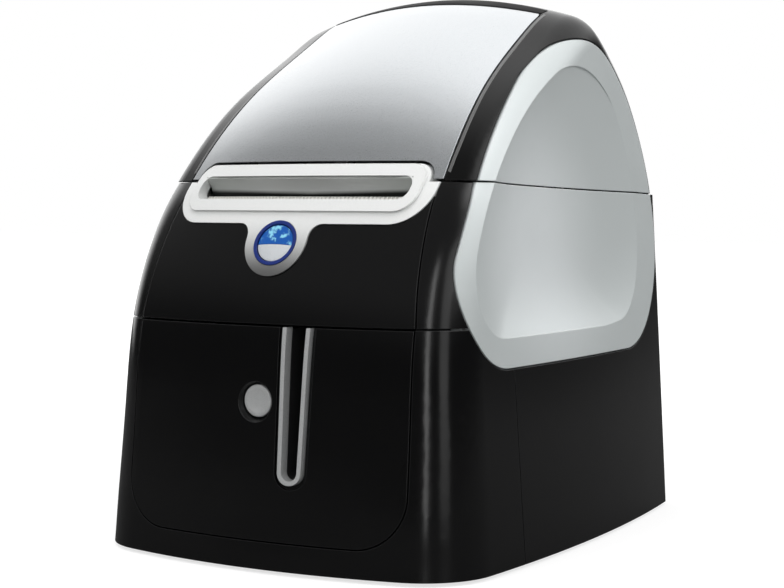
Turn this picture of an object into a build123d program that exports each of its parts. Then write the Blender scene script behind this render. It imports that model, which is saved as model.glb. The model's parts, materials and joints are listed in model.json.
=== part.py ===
"""Desktop label and tape printer with a domed lid, a label roll, and a tape tray that slides out.

Millimetres. +Z is up, the front faces -Y, and the origin is on the table under the middle of the box.
Each function makes one piece, and save() writes it to its own STEP file.
"""
import os
from functools import cache
from math import asin, atan2, cos, degrees, pi, radians, sin, tan

from build123d import *

# Outer casing
casing_width = 140.0
casing_depth = 187.0
foot_height = 1.2
mid_seam_z = 74.3
lid_seam_z = 118.0
lid_seam_y = -55.0
lid_seam_fall = 0.0143
wall = 2.5
seam_gap = 0.5
flange = 2.5
flange_skin = 1.4
glue_gap = 0.1

# Front curve: a leaning flat that bends back under the lid
front_lean = 4.8
bend_start = 66.0
bend_radius = 92.3
front_bow_low = 210.0
front_bow_high = 133.0
corner_low = 25.0
corner_high = 16.5
corner_mid = 20.5

# Sides and rear
side_draft = 0.0787
side_bow = 700.0
side_bow_fade = 225.0
widest_y = -10.0
rear_draft = 0.0128
rear_corner_low = 5.0
rear_corner_high = 9.0

# Lid dome
crown_radius = 180.0
lid_edge_radius = 12.5
lid_top_z = 184.0
lid_top_y = 35.0
lid_wall = 2.4
lid_panel_halves = ((-80.0, 48.7), (-30.0, 44.4), (2.0, 42.0), (16.0, 41.5))
lid_panel_rear_half = 41.4
lid_panel_rear_y = 24.0
lid_panel_corner = 5.0

# Lid hinge
hinge_y = 88.3
hinge_lift = 0.3
hinge_barrel_radius = 4.6
hinge_clear = 0.8
hinge_pin_radius = 1.5
hinge_pin_reach = 9.0
hinge_trough_half = 56.5
hinge_barrel_half = 53.0
knuckle_inner_x = 26.0
knuckle_width = 12.0
knuckle_foot = 9.0
running_fit = 0.05

# Tray door, a U in the front
door_half_top = 50.2
door_half_low = 51.0
door_bottom_z = 9.3
door_corner = 16.0
door_gap = 0.5
side_seam_y = -44.2

# Upper front panel and slot bezel
panel_half_low = 50.2
panel_half_high = 45.9
panel_seam_depth = 1.2
bezel_half = 46.3
bezel_low_z = 104.8
bezel_shoulder_z = 117.8
bezel_top_half = 43.0
bezel_top_z = 123.4
bezel_low_corner = 11.0
bezel_top_corner = 5.2
bezel_proud = 0.5
bezel_gap = 0.9
rim_half = 42.0
rim_low_z = 108.7
rim_proud = 1.5
rim_corner = 6.0
slot_half = 39.0
slot_low_z = 112.3
slot_high_z = 119.6
slot_corner = 3.2
tongue_half = 11.0
tongue_z = 99.8
tongue_fillet = 4.0

# Feed button in the bezel's tongue
button_z = 98.8
button_ring_radius = 7.6
button_ring_wall = 1.2
button_clear = 0.3
button_depth = 5.0
button_travel = 1.2
button_split = -0.7
button_crown = 0.8
button_crown_radius = 26.0

# Parts behind the label slot
tear_height = 3.4
tear_tooth = 1.1
tear_pitch = 1.3
deflector_y = -57.0
deflector_z = 120.7

# Side pads
pad_foot_y = -47.5
pad_low_z = 61.1
pad_nose_radius = 23.45
pad_nose_turn = 118.17
pad_front_radius = 153.6
pad_front_turn = 38.01
pad_top_radius = 45.84
pad_top_turn = 59.72
pad_rear_radius = 87.35
pad_rear_turn = 42.96
pad_inner_x = 50.6
dish_foot_y = -49.7
dish_low_z = 70.5
dish_nose_radius = 17.36
dish_nose_turn = 118.92
dish_front_radius = 132.76
dish_front_turn = 38.91
dish_top_radius = 41.91
dish_top_turn = 61.81
dish_rear_radius = 76.34
dish_rear_turn = 41.98
dish_middle_y = -2.0
dish_middle_z = 106.0
dish_depth = 6.6
dish_wall = 1.8
dish_plane_x = 63.7
dish_plane_z = 70.0

# Tape slot in the door
tape_x = 13.3
trim_half_top = 4.7
trim_half_low = 3.95
trim_low_z = 26.9
trim_wall = 1.35
trim_proud = 0.8
trim_groove = 1.5
trim_groove_depth = 1.2
channel_depth = 12.0

# Eject button in the door
eject_x = -0.3
eject_z = 51.2
eject_radius = 5.0
eject_clear = 0.3
eject_mouth_radius = 6.4
eject_recess = 1.4
eject_head = 5.0
eject_boss = 9.0
eject_length = 16.0
eject_stem_radius = 2.2
eject_travel = 2.5
eject_dish_radius = 14.0
eject_pivot_y = -66.0
eject_pivot_z = 60.0
eject_pin_radius = 1.5
ear_x = 7.0
ear_wall = 2.0
lever_half = 5.0

# Tape tray
tray_half = 43.0
tray_floor_z = 12.0
tray_floor = 2.0
tray_wall = 2.0
tray_wall_top_z = 40.0
tray_front_y = -78.0
tray_rear_y = 6.0
tray_travel = 85.0
tray_arm_y = 54.0
tray_arm_top_z = 26.0
runner_front_y = -76.0
runner_rib = 1.8
runner_rib_z = 20.0
runner_rib_height = 2.0
runner_clear = 0.35
runner_wall = 3.0

# Tape cassette
cassette_x = -12.0
cassette_y = -24.0
cassette_width = 48.0
cassette_length = 48.0
cassette_height = 30.0
cassette_base_z = 18.0
cassette_corner = 5.0
tape_spool_y = -16.0
tape_spool_x = -20.0
tape_spool_radius = 7.0
ribbon_spool_x = 2.0
ribbon_spool_y = -34.0
ribbon_spool_radius = 5.0
post_radius = 2.5

# Tape print station
tape_gap = 0.3
tape_platen_radius = 4.0
tape_platen_y = -60.0
tape_shaft_radius = 1.2
tape_gear_module = 0.6
tape_platen_teeth = 20
tape_idler_teeth = 24
tape_pinion_teeth = 12
tape_idler_angle = 40.0
tape_pinion_angle = 90.0
tape_gear_z = 14.6
tape_gear_height = 3.0
tape_motor_radius = 7.5
tape_motor_height = 20.0
tape_motor_z = 19.0
tape_motor_ear = 12.0
bridge_height = 2.0
cutter_y = -70.5
cutter_low_z = 20.0
cutter_travel = 4.0
gear_backlash = 0.25

# Label print station
platen_y = -46.0
platen_z = 104.0
platen_radius = 6.5
platen_half = 32.0
platen_shaft_radius = 2.5
frame_half = 46.0
frame_wall = 2.0
label_gear_module = 0.8
platen_teeth = 24
idler_teeth = 28
pinion_teeth = 12
label_gear_width = 4.0
label_gear_x0 = -51.0
idler_angle = 235.0
idler_stub_radius = 2.0
pinion_angle = -5.0
motor_radius = 10.0
motor_length = 20.0
motor_shaft_radius = 1.5
paper_gap = 0.7
head_length = 66.0
head_width = 9.0
head_thickness = 1.2
head_bar_height = 5.6
head_arm_x = 38.0
head_arm_wall = 2.0
head_pivot_y = -26.0
head_pivot_z = 116.0
head_pivot_radius = 2.0
lever_y = -30.0
lever_z = 103.0
lever_x0 = -42.6
lever_x1 = -40.8
lever_top_z = 126.0
lever_pivot_radius = 1.5
lever_tab_reach = 2.4
guide_top_z = 110.0
guide_front_y = -38.0
guide_y = -34.0
guide_x = 30.0
guide_height = 5.0
guide_slot_x0 = 9.0
guide_slot_x1 = 37.0

# Label roll
roll_y = 26.0
roll_z = 122.0
roll_radius = 42.0
roll_half = 29.5
core_radius = 14.0
spindle_radius = 12.0
flange_radius = 32.0
journal_radius = 4.0
spool_flange_x = 31.0
spool_flange_wall = 2.0
spool_bracket_x = 41.0
spool_bracket_wall = 2.0
spool_bracket_half = 7.0
snap_throat = 3.6
well_gap = 4.0
well_wall = 2.0
well_top_z = 112.0
well_rear_y = 74.0
deck_z = 69.0
deck_height = 2.5

# Base, feet, electronics
base_height = 3.0
base_clear = 0.6
foot_radius = 6.0
foot_seat = 1.4
foot_x = 48.0
foot_front_y = -68.0
foot_rear_y = 78.0
leg_x = 53.5
leg_front_y = -28.0
leg_rear_y = 62.0
leg_radius = 3.4
screw_radius = 1.5
screw_head_radius = 2.8
screw_head_height = 1.5
screw_top_z = 16.0
board_length = 56.0
board_width = 76.0
board_thickness = 1.6
board_z = 14.0
board_y = 52.0
socket_z = 21.5
socket_clear = 0.4
inlet_x = -26.0
inlet_radius = 5.5
usb_x = 4.0
usb_width = 12.0
usb_height = 11.0

BIG = 400.0


# Small helpers

def block(x0, x1, y0, y1, z0, z1):
    """Box between two corners."""
    size = Box(x1 - x0, y1 - y0, z1 - z0)
    return Pos((x0 + x1) / 2, (y0 + y1) / 2, (z0 + z1) / 2) * size


def rod_x(y, z, radius, x0, x1):
    """Round bar along X."""
    return Pos((x0 + x1) / 2, y, z) * Rot(0, 90, 0) * Cylinder(radius, x1 - x0)


def rod_y(x, z, radius, y0, y1):
    """Round bar along Y."""
    return Pos(x, (y0 + y1) / 2, z) * Rot(90, 0, 0) * Cylinder(radius, y1 - y0)


def rod_z(x, y, radius, z0, z1):
    """Round bar along Z."""
    return Pos(x, y, (z0 + z1) / 2) * Cylinder(radius, z1 - z0)


def front_prism(sketch, y0=-BIG / 2, y1=0.0):
    """A front-view outline (X, Z) pushed through from y0 to y1."""
    plane = Plane(origin=(0, y1, 0), x_dir=(1, 0, 0), z_dir=(0, -1, 0))
    return extrude(plane * sketch, amount=y1 - y0)


def side_prism(sketch, x0, x1):
    """A side-view outline (Y, Z) pushed through from x0 to x1."""
    plane = Plane(origin=(x0, 0, 0), x_dir=(0, 1, 0), z_dir=(1, 0, 0))
    return extrude(plane * sketch, amount=x1 - x0)


def share(value, start, end):
    """How far value has gone from start to end, kept within 0 and 1."""
    return min(max((value - start) / (end - start), 0.0), 1.0)


def both_sides(piece):
    """A piece and its mirror image across the middle."""
    return piece + mirror(piece, Plane.YZ)


def largest(shape):
    """The main solid of a cut, without crumbs."""
    return max(shape.solids(), key=lambda solid: solid.volume)


def seam_z(y):
    """Height of the lid seam, which falls a little to the rear."""
    return lid_seam_z - lid_seam_fall * (y - lid_seam_y)


def above_seam(gap):
    """Everything above the lid seam, starting gap/2 over it."""
    tilt = -degrees(atan2(lid_seam_fall, 1))
    slab = Pos(0, 0, BIG / 2 + gap / 2) * Box(BIG, BIG, BIG)
    return Pos(0, lid_seam_y, lid_seam_z) * Rot(tilt, 0, 0) * slab


def below_seam(gap):
    """Everything under the lid seam, ending gap/2 under it."""
    tilt = -degrees(atan2(lid_seam_fall, 1))
    slab = Pos(0, 0, -BIG / 2 - gap / 2) * Box(BIG, BIG, BIG)
    return Pos(0, lid_seam_y, lid_seam_z) * Rot(tilt, 0, 0) * slab


# Outer form of the body

def lean_at(z):
    """Angle of the front from upright, in radians."""
    start = sin(radians(front_lean))
    if z <= bend_start:
        return asin(start)
    return asin(start + (z - bend_start) / bend_radius)


def front_crest(z):
    """Y of the front's middle line at one height."""
    straight = -casing_depth / 2 + min(z, bend_start) * tan(radians(front_lean))
    return straight + bend_radius * (cos(radians(front_lean)) - cos(lean_at(z)))


def front_bow(z):
    """Plan radius of the front at one height."""
    up = share(z, bend_start, lid_seam_z)
    return front_bow_low + (front_bow_high - front_bow_low) * up


def side_x(y, z):
    """Half width of the casing at one place on its side."""
    half = casing_width / 2 - side_draft * z
    return half - (y - widest_y) ** 2 / (2 * side_bow) * (1 - z / side_bow_fade)


def corner_radius(z):
    """Plan radius of the front corners, which tightens upwards."""
    low = share(z, 0, bend_start)
    high = share(z, bend_start, lid_seam_z)
    return corner_low + (corner_mid - corner_low) * low + (corner_high - corner_mid) * high


def plan_outline(z, inset):
    """Plan of the body at one height: bowed front and sides with rounded corners."""
    front_y = front_crest(z) + inset / cos(lean_at(z))
    rear_y = casing_depth / 2 - rear_draft * z - inset
    half = side_x(widest_y, z) - inset
    corner_x = half
    for _ in range(4):
        corner_y = front_y + corner_x ** 2 / (2 * front_bow(z))
        corner_x = side_x(corner_y, z) - inset
    rear_x = side_x(rear_y, z) - inset
    front = ThreePointArc((-corner_x, corner_y), (0, front_y), (corner_x, corner_y))
    right = ThreePointArc((corner_x, corner_y), (half, widest_y), (rear_x, rear_y))
    rear = Line((rear_x, rear_y), (-rear_x, rear_y))
    left = ThreePointArc((-rear_x, rear_y), (-half, widest_y), (-corner_x, corner_y))
    face = make_face(Curve() + [front, right, rear, left])
    up = share(z, 0, lid_seam_z)
    rear_radius = rear_corner_low + (rear_corner_high - rear_corner_low) * up
    face = fillet([v for v in face.vertices() if v.Y < 0], corner_radius(z) - inset)
    face = fillet(face.vertices().sort_by(Axis.Y)[-2:], rear_radius - inset)
    return Pos(0, 0, z) * face


def body_form(inset=0.0):
    """The body's outer form, or the same form drawn in by inset."""
    heights = [-2, 10, 26, 46, bend_start, 76, 88, 100, 112, 127]
    return loft([plan_outline(z, inset) for z in heights])


# Outer form of the lid

def dome_points():
    """Side profile of the lid's middle line: (y, z, lean in degrees, share of the crown)."""
    low_z = lid_seam_z - 20
    points = [(front_crest(z), z, degrees(lean_at(z)), 1.0) for z in (low_z, lid_seam_z)]
    points += [
        (lid_top_y - 64.0, lid_top_z - 30.0, 51.0, 1.12),
        (lid_top_y - 31.5, lid_top_z - 9.5, 66.0, 1.35),
        (lid_top_y, lid_top_z, 90.0, 1.15),
        (lid_top_y + 20.5, lid_top_z - 9.6, 119.0, 1.15),
        (lid_top_y + 36.5, lid_top_z - 24.5, 138.0, 0.9),
        (casing_depth / 2 - 1.2, lid_seam_z, 171.0, 0.15),
        (casing_depth / 2 - 0.5, low_z, 179.0, 0.0),
    ]
    return points


def dome_face(x, inset):
    """Side profile of the lid at one station across it."""
    crown = x ** 2 / (2 * crown_radius)
    points = []
    for y, z, lean, part in dome_points():
        drop = inset + crown * part
        points.append((x, y + drop * cos(radians(lean)), z - drop * sin(radians(lean))))
    ends = [radians(dome_points()[i][2]) for i in (0, -1)]
    over = Spline(*points, tangents=[(0, sin(a), cos(a)) for a in ends])
    return make_face(Curve() + [over, Line(points[-1], points[0])])


def side_slab(z, inset):
    """Plan of the lid's two bowed sides at one height, open to front and rear."""
    ends = (-110.0, 115.0)
    near, far = [side_x(y, z) - inset for y in ends]
    half = side_x(widest_y, z) - inset
    front = Line((-near, ends[0]), (near, ends[0]))
    right = ThreePointArc((near, ends[0]), (half, widest_y), (far, ends[1]))
    rear = Line((far, ends[1]), (-far, ends[1]))
    left = ThreePointArc((-far, ends[1]), (-half, widest_y), (-near, ends[0]))
    return Pos(0, 0, z) * make_face(Curve() + [front, right, rear, left])


def lid_form(inset=0.0):
    """The lid's outer form, or the same form drawn in by inset."""
    reach = casing_width / 2 + 5
    dome = loft([dome_face(x, inset) for x in (-reach, -reach / 2, 0, reach / 2, reach)])
    sides = loft([side_slab(z, inset) for z in (lid_seam_z - 28, lid_top_z + 20)], ruled=True)
    raw = dome & sides
    edges = raw.edges().sort_by(SortBy.LENGTH)[-2:]
    return fillet(edges, lid_edge_radius - inset)


body_skin = {inset: body_form(inset) for inset in (0.0, wall, wall + glue_gap, wall + glue_gap + flange_skin)}
lid_skin = {inset: lid_form(inset) for inset in (0.0, lid_wall, lid_wall + glue_gap,
                                                lid_wall + glue_gap + flange_skin)}


def body_shell(outer=0.0, inner=wall):
    """Skin of the body between two insets."""
    return body_skin[outer] - body_skin[inner]


def lid_shell_form(outer=0.0, inner=lid_wall):
    """Skin of the lid between two insets."""
    return lid_skin[outer] - lid_skin[inner]


# Outlines seen from the front

def door_outline(grow=0.0, top_z=None):
    """The U of the tray door."""
    top = mid_seam_z + BIG / 4 if top_z is None else top_z
    half_at_top = door_half_low + (door_half_top - door_half_low) * (top - door_bottom_z) / (
        mid_seam_z - door_bottom_z)
    low = door_bottom_z - grow
    corners = [(-half_at_top - grow, top), (-door_half_low - grow, low),
               (door_half_low + grow, low), (half_at_top + grow, top)]
    face = make_face(Polyline(*corners, close=True))
    return fillet(face.vertices().sort_by(Axis.Y)[:2], door_corner + grow)


def panel_half(z):
    """Half width of the upper front panel at one height."""
    return panel_half_low + (panel_half_high - panel_half_low) * (z - mid_seam_z) / (
        lid_seam_z - mid_seam_z)


def panel_outline(grow=0.0):
    """The upper front panel, from the mid seam to above the lid seam."""
    low, high = mid_seam_z - grow, lid_seam_z + 6
    corners = [(-panel_half(low) - grow, low), (panel_half(low) + grow, low),
               (panel_half(high) + grow, high), (-panel_half(high) - grow, high)]
    return make_face(Polyline(*corners, close=True))


def round_block(half, low, high, low_corner, high_corner, grow=0.0):
    """Rectangle about the middle line with rounded lower and upper corners."""
    face = Pos(0, (low + high) / 2) * Rectangle(2 * (half + grow), high - low + 2 * grow)
    by_height = face.vertices().sort_by(Axis.Y)
    if low_corner:
        face = fillet(by_height[:2], low_corner + grow)
    if high_corner:
        face = fillet(face.vertices().sort_by(Axis.Y)[-2:], high_corner + grow)
    return face


def bezel_outline(grow=0.0):
    """The slot bezel: a wide body with round ends, a narrower head and a tongue for the button."""
    body = round_block(bezel_half, bezel_low_z, bezel_shoulder_z, bezel_low_corner, 0, grow)
    head = round_block(bezel_top_half, bezel_low_z + 6, bezel_top_z, 0, bezel_top_corner, grow)
    radius = tongue_half + grow
    tongue = Pos(0, tongue_z) * Circle(radius) + Pos(0, bezel_low_z) * Rectangle(2 * radius, 10)
    face = body + head + tongue
    inner = [v for v in face.vertices()
             if abs(v.Y - bezel_low_z + grow) < 0.2 and abs(abs(v.X) - radius) < 0.2]
    return fillet(inner, tongue_fillet - grow)


def rim_outline(shrink=0.0):
    """The raised rim around the label slot."""
    return round_block(rim_half - shrink, rim_low_z + shrink, bezel_top_z - shrink,
                       rim_corner, bezel_top_corner)


def slot_outline(grow=0.0):
    """The label slot."""
    return round_block(slot_half, slot_low_z, slot_high_z, slot_corner, slot_corner, grow)


def trim_outline(grow=0.0):
    """The tape slot's long U, a little narrower at its foot."""
    top_z = mid_seam_z - door_gap
    half_top, half_low = trim_half_top + grow, trim_half_low + grow
    low = trim_low_z - grow
    corners = [(-half_top, top_z), (-half_low, low), (half_low, low), (half_top, top_z)]
    face = make_face(Polyline(*corners, close=True))
    face = fillet(face.vertices().sort_by(Axis.Y)[:2], half_low - 0.1)
    return Pos(tape_x, 0) * face


# Outlines seen from the side

def arc_outline(foot_y, low_z, arcs, grow=0.0):
    """A flat bottom and arcs that run into each other, each a radius and a turn; the last arc closes it."""
    start = Vector(foot_y, low_z - grow)
    at, heading, run = start, 180.0, []
    for radius, turn in arcs:
        toward = (cos(radians(heading)), sin(radians(heading)))
        run.append(JernArc(at, toward, radius + grow, -turn))
        at, heading = run[-1] @ 1, heading - turn
    last_turn = 360 - sum(turn for _, turn in arcs)
    last_radius = (start.Y - at.Y) / (cos(radians(last_turn)) - 1)
    toward = (cos(radians(heading)), sin(radians(heading)))
    run.append(JernArc(at, toward, abs(last_radius), -last_turn))
    run.append(Line(run[-1] @ 1, start))
    return make_face(Curve() + run)


def ring_outline(grow=0.0):
    """Outer edge of a side pad."""
    arcs = [(pad_nose_radius, pad_nose_turn), (pad_front_radius, pad_front_turn),
            (pad_top_radius, pad_top_turn), (pad_rear_radius, pad_rear_turn)]
    return arc_outline(pad_foot_y, pad_low_z, arcs, grow)


def dish_section(depth, share, grow):
    """The dish's outline drawn in to a share of itself, set depth below the leaning side."""
    arcs = [(dish_nose_radius, dish_nose_turn), (dish_front_radius, dish_front_turn),
            (dish_top_radius, dish_top_turn), (dish_rear_radius, dish_rear_turn)]
    face = arc_outline(dish_middle_y + share * (dish_foot_y - dish_middle_y),
                       dish_middle_z + share * (dish_low_z - dish_middle_z),
                       [(share * radius, turn) for radius, turn in arcs], grow)
    upright = Plane(origin=(0, 0, 0), x_dir=(0, 1, 0), z_dir=(1, 0, 0)) * face
    lean = -degrees(atan2(side_draft, 1))
    return Pos(dish_plane_x - depth, 0, dish_plane_z) * Rot(0, lean, 0) * Pos(0, 0, -dish_plane_z) * upright


def dish_form(grow=0.0):
    """The hollow of the right side's dish, or the same grown by a wall: a bowl that deepens to its middle."""
    shares = (1.0, 0.96, 0.86, 0.7, 0.45, 0.2)
    bowl = loft([dish_section(dish_depth * (1 - share ** 3) + grow, share, grow) for share in shares])
    mouth = loft([dish_section(grow, 1.0, grow), dish_section(-8.0, 1.0, grow)], ruled=True)
    return mouth + bowl


# Skins with a lap behind their neighbours

def seated_plate(skins, prism_of):
    """A plate level with the skin, with a flange that laps behind its neighbours."""
    outer, inner, back, deep = [skins[inset] for inset in sorted(skins)]
    wide = prism_of(flange)
    plate = (outer & wide) - (deep & wide)
    plate -= (wide - prism_of(-seam_gap / 2)) - back
    return plate - (inner & prism_of(-flange))


def ring_prism(grow=0.0, clear=0.0):
    """The right pad's outline pushed through the casing wall."""
    return side_prism(ring_outline(grow), pad_inner_x - clear, BIG / 4)


# Casing

def pad_windows(grow, clear=0.0):
    """Both side pads' windows in the casing."""
    return both_sides(ring_prism(grow, clear))


def hinge_z():
    """Height of the lid's hinge line."""
    return seam_z(hinge_y) + hinge_lift


def hinge_rod(radius, x0, x1):
    """Round bar on the hinge line."""
    return rod_x(hinge_y, hinge_z(), radius, x0, x1)


def knuckle_spans(grow=0.0):
    """Where the casing's two knuckles stand."""
    inner, outer = knuckle_inner_x - grow, knuckle_inner_x + knuckle_width + grow
    return [(inner, outer), (-outer, -inner)]


def rear_sockets(grow):
    """Openings in the rear wall for the power inlet and the data socket."""
    rear_y = casing_depth / 2
    inlet = rod_y(inlet_x, socket_z, inlet_radius + grow, rear_y - 9, rear_y + 1)
    usb = block(usb_x - usb_width / 2 - grow, usb_x + usb_width / 2 + grow, rear_y - 9, rear_y + 1,
                socket_z - usb_height / 2 - grow, socket_z + usb_height / 2 + grow)
    return inlet + usb


def front_zone(grow=0.0):
    """The part of the casing that the front frame takes: ahead of the side seams, under the mid seam."""
    return block(-BIG, BIG, -BIG, side_seam_y + grow, -BIG, mid_seam_z + grow)


def main_casing():
    """Upper body, sides and rear in one shell, cut away for the front, the panel and the pads."""
    shell = body_shell() & below_seam(seam_gap) & block(-BIG, BIG, -BIG, BIG, foot_height, BIG)
    shell -= front_zone(seam_gap / 2)
    shell -= front_prism(panel_outline(seam_gap / 2), -BIG / 2, -20)
    shell -= pad_windows(seam_gap / 2)
    shell -= hinge_rod(hinge_barrel_radius + hinge_clear, -hinge_trough_half, hinge_trough_half)
    for x0, x1 in knuckle_spans():
        foot = block(x0, x1, hinge_y - hinge_barrel_radius, casing_depth / 2,
                     hinge_z() - knuckle_foot, hinge_z())
        shell += hinge_rod(hinge_barrel_radius, x0, x1) + (foot & body_skin[0.0])
    shell -= hinge_rod(hinge_pin_radius, -BIG / 4, BIG / 4)
    shell -= rear_sockets(socket_clear)
    return largest(shell)


def pad_lap_room():
    """Room behind the front's skin for the pads' laps."""
    return pad_windows(flange + seam_gap, seam_gap) & body_skin[wall]


def front_frame():
    """Lower front shell that wraps both corners and frames the tray door, lapped behind its neighbours."""
    def zone_prism(grow):
        return front_zone(grow) - front_prism(door_outline(), -BIG / 2, 0) - pad_windows(seam_gap / 2)
    frame = seated_plate(body_skin, zone_prism) - pad_lap_room()
    frame &= block(-BIG, BIG, -BIG, BIG, foot_height, BIG)
    base_room = foot_height + base_height + glue_gap
    return largest(frame - (body_skin[wall] & block(-BIG, BIG, -BIG, BIG, -BIG, base_room)))


def panel_seams():
    """The two grooves that part the upper front's middle from its corners."""
    wide = front_prism(panel_outline(seam_gap / 2), -BIG / 2, -20)
    return wide - front_prism(panel_outline(-seam_gap / 2), -BIG / 2, -20) - body_form(panel_seam_depth)


def centre_panel():
    """Upper front from one side pad round to the other, open for the bezel."""
    def panel_prism(grow):
        zone = block(-BIG, BIG, -BIG, side_seam_y, mid_seam_z + max(-grow, seam_gap / 2), BIG)
        zone -= pad_windows(max(seam_gap / 2, -grow))
        return zone - front_prism(bezel_outline(glue_gap), -BIG / 2, -20) if grow <= 0 else zone
    panel = (seated_plate(body_skin, panel_prism) & below_seam(seam_gap)) - pad_lap_room()
    panel -= front_zone(flange + seam_gap) & body_skin[wall]
    panel -= front_prism(bezel_outline(glue_gap), -BIG / 2, -20)
    panel -= panel_seams()
    lap_room = front_prism(bezel_outline(flange + seam_gap), -BIG / 2, -20) & body_skin[wall]
    return largest(panel - lap_room)


def slot_bezel():
    """Pearl bezel with a raised rim, the label slot and a tongue round the feed button."""
    wide = front_prism(bezel_outline(flange), -BIG / 2, -20)
    own = front_prism(bezel_outline(), -BIG / 2, -20)
    rim = body_form(-rim_proud) & front_prism(rim_outline(), -BIG / 2, -20)
    bezel = (body_form(-bezel_proud) & own) + rim
    bezel += body_skin[wall + glue_gap] & wide & below_seam(2 * seam_gap)
    bezel -= body_skin[wall] & front_prism(bezel_outline(-flange / 2), -BIG / 2, -20)
    bezel -= body_skin[wall + glue_gap + flange_skin]
    bezel -= body_skin[wall] & above_seam(2 * seam_gap)
    bezel -= front_prism(slot_outline(), -BIG / 2, -20)
    bezel -= button_place() * Cylinder(button_ring_radius, 20)
    return largest(bezel)


def button_place():
    """Frame on the tongue whose Z points out of the surface."""
    lean = lean_at(button_z)
    return Plane(origin=(0, front_crest(button_z), button_z), x_dir=(1, 0, 0),
                 z_dir=(0, -cos(lean), sin(lean))).location


def button_ring():
    """Clear ring that lights up round the feed button."""
    outer = Cylinder(button_ring_radius - glue_gap, button_depth)
    ring = outer - Cylinder(button_ring_radius - button_ring_wall, button_depth)
    return button_place() * Pos(0, 0, bezel_proud - button_depth / 2) * ring


def button_half(upper):
    """Half of the feed button's domed disc, split just under its middle."""
    radius = button_ring_radius - button_ring_wall - button_clear
    low = -button_depth if upper else -button_depth - 0.7
    disc = Pos(0, 0, low / 2 + 0.5) * Cylinder(radius, 1 - low)
    disc &= Pos(0, 0, button_crown - button_crown_radius) * Sphere(button_crown_radius)
    gap = glue_gap / 2
    if upper:
        return disc & block(-20, 20, button_split + gap, 20, -20, 20)
    return disc & block(-20, 20, -20, button_split - gap, -20, 20)


def feed_button():
    """Silver lower half of the feed button, on a plate with its stem."""
    plate = Pos(0, 0, -button_depth - 0.7) * Cylinder(5.2, 1.2)
    stem = Pos(0, 0, -button_depth - 4.5) * Cylinder(1.6, 7)
    return button_place() * (button_half(False) + plate + stem)


def feed_lens():
    """Clear domed upper half of the feed button."""
    return button_place() * button_half(True)


def tear_bar():
    """Bright strip with a saw edge behind the slot's lower lip."""
    low, high = slot_low_z - tear_height, slot_low_z - 0.2
    half = slot_half - 1
    count = int(2 * half / tear_pitch)
    start = -count * tear_pitch / 2
    line = [(-half, low), (half, low), (half, high), (-start, high)]
    for i in range(count, 0, -1):
        line += [(start + (i - 0.5) * tear_pitch, high + tear_tooth), (start + (i - 1) * tear_pitch, high)]
    line.append((-half, high))
    shell = body_skin[wall + glue_gap] - body_skin[wall + glue_gap + flange_skin]
    return largest(shell & front_prism(make_face(Polyline(*line, close=True)), -BIG / 2, -20))


def slot_deflector():
    """Bright curved guide inside the slot that turns the label out under it."""
    y, z = deflector_y, deflector_z
    over = ThreePointArc((y - 8.5, z + 0.7), (y, z), (y + 6.3, z - 7.2))
    under = ThreePointArc((y + 5.4, z - 7.3), (y - 0.5, z - 0.9), (y - 8.5, z - 0.2))
    ends = [Line(over @ 1, under @ 0), Line(under @ 1, over @ 0)]
    half = slot_half + 0.5
    return side_prism(make_face(Curve() + [over, under] + ends), -half, half) & body_skin[wall + glue_gap]


@cache
def side_pad_lower():
    """Body half of the right side pad."""
    rim = seated_plate(body_skin, ring_prism)
    pad = rim + (dish_form(dish_wall) & body_skin[0.0]) - dish_form()
    return largest(pad & below_seam(seam_gap))


@cache
def side_pad_upper():
    """Lid half of the right side pad."""
    rim = seated_plate(lid_skin, ring_prism)
    pad = rim + (dish_form(dish_wall) & lid_skin[0.0]) - dish_form()
    return largest(pad & above_seam(seam_gap))


# Lid

def lid_panel_prism(grow=0.0):
    """The lid panel's outline seen from above, pushed up through the lid."""
    marks = [*lid_panel_halves, (lid_panel_rear_y + grow, lid_panel_rear_half)]
    right = Spline(*[(half + grow, y) for y, half in marks])
    left = Spline(*[(-half - grow, y) for y, half in marks])
    front, rear = Line(left @ 0, right @ 0), Line(left @ 1, right @ 1)
    face = make_face(Curve() + [right, rear, left, front])
    face = fillet(face.vertices().sort_by(Axis.Y)[-2:], lid_panel_corner + grow)
    return Pos(0, 0, lid_seam_z - 40) * extrude(face, amount=160)


def bezel_notch():
    """The bezel's place in the lid's front edge."""
    return front_prism(bezel_outline(bezel_gap), -BIG / 2, -20)


def lid_panel():
    """Silver panel over the lid's front and top, notched round the bezel."""
    panel = seated_plate(lid_skin, lid_panel_prism)
    return largest((panel & above_seam(seam_gap)) - bezel_notch())


def spool_bracket():
    """Right hanger inside the lid for the spool's journal, with a snap throat to the front."""
    x0, x1 = spool_bracket_x, spool_bracket_x + spool_bracket_wall
    arm = block(x0, x1, roll_y - spool_bracket_half, roll_y + spool_bracket_half, roll_z, BIG)
    arm += rod_x(roll_y, roll_z, spool_bracket_half, x0, x1)
    arm &= lid_skin[lid_wall + glue_gap + flange_skin] + (lid_skin[0.0] & block(
        x0, x1, lid_panel_rear_y + 2 * flange, BIG, -BIG, BIG))
    arm -= rod_x(roll_y, roll_z, journal_radius + running_fit, x0, x1)
    return arm - block(x0, x1, roll_y - BIG / 4, roll_y, roll_z - snap_throat / 2, roll_z + snap_throat / 2)


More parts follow.
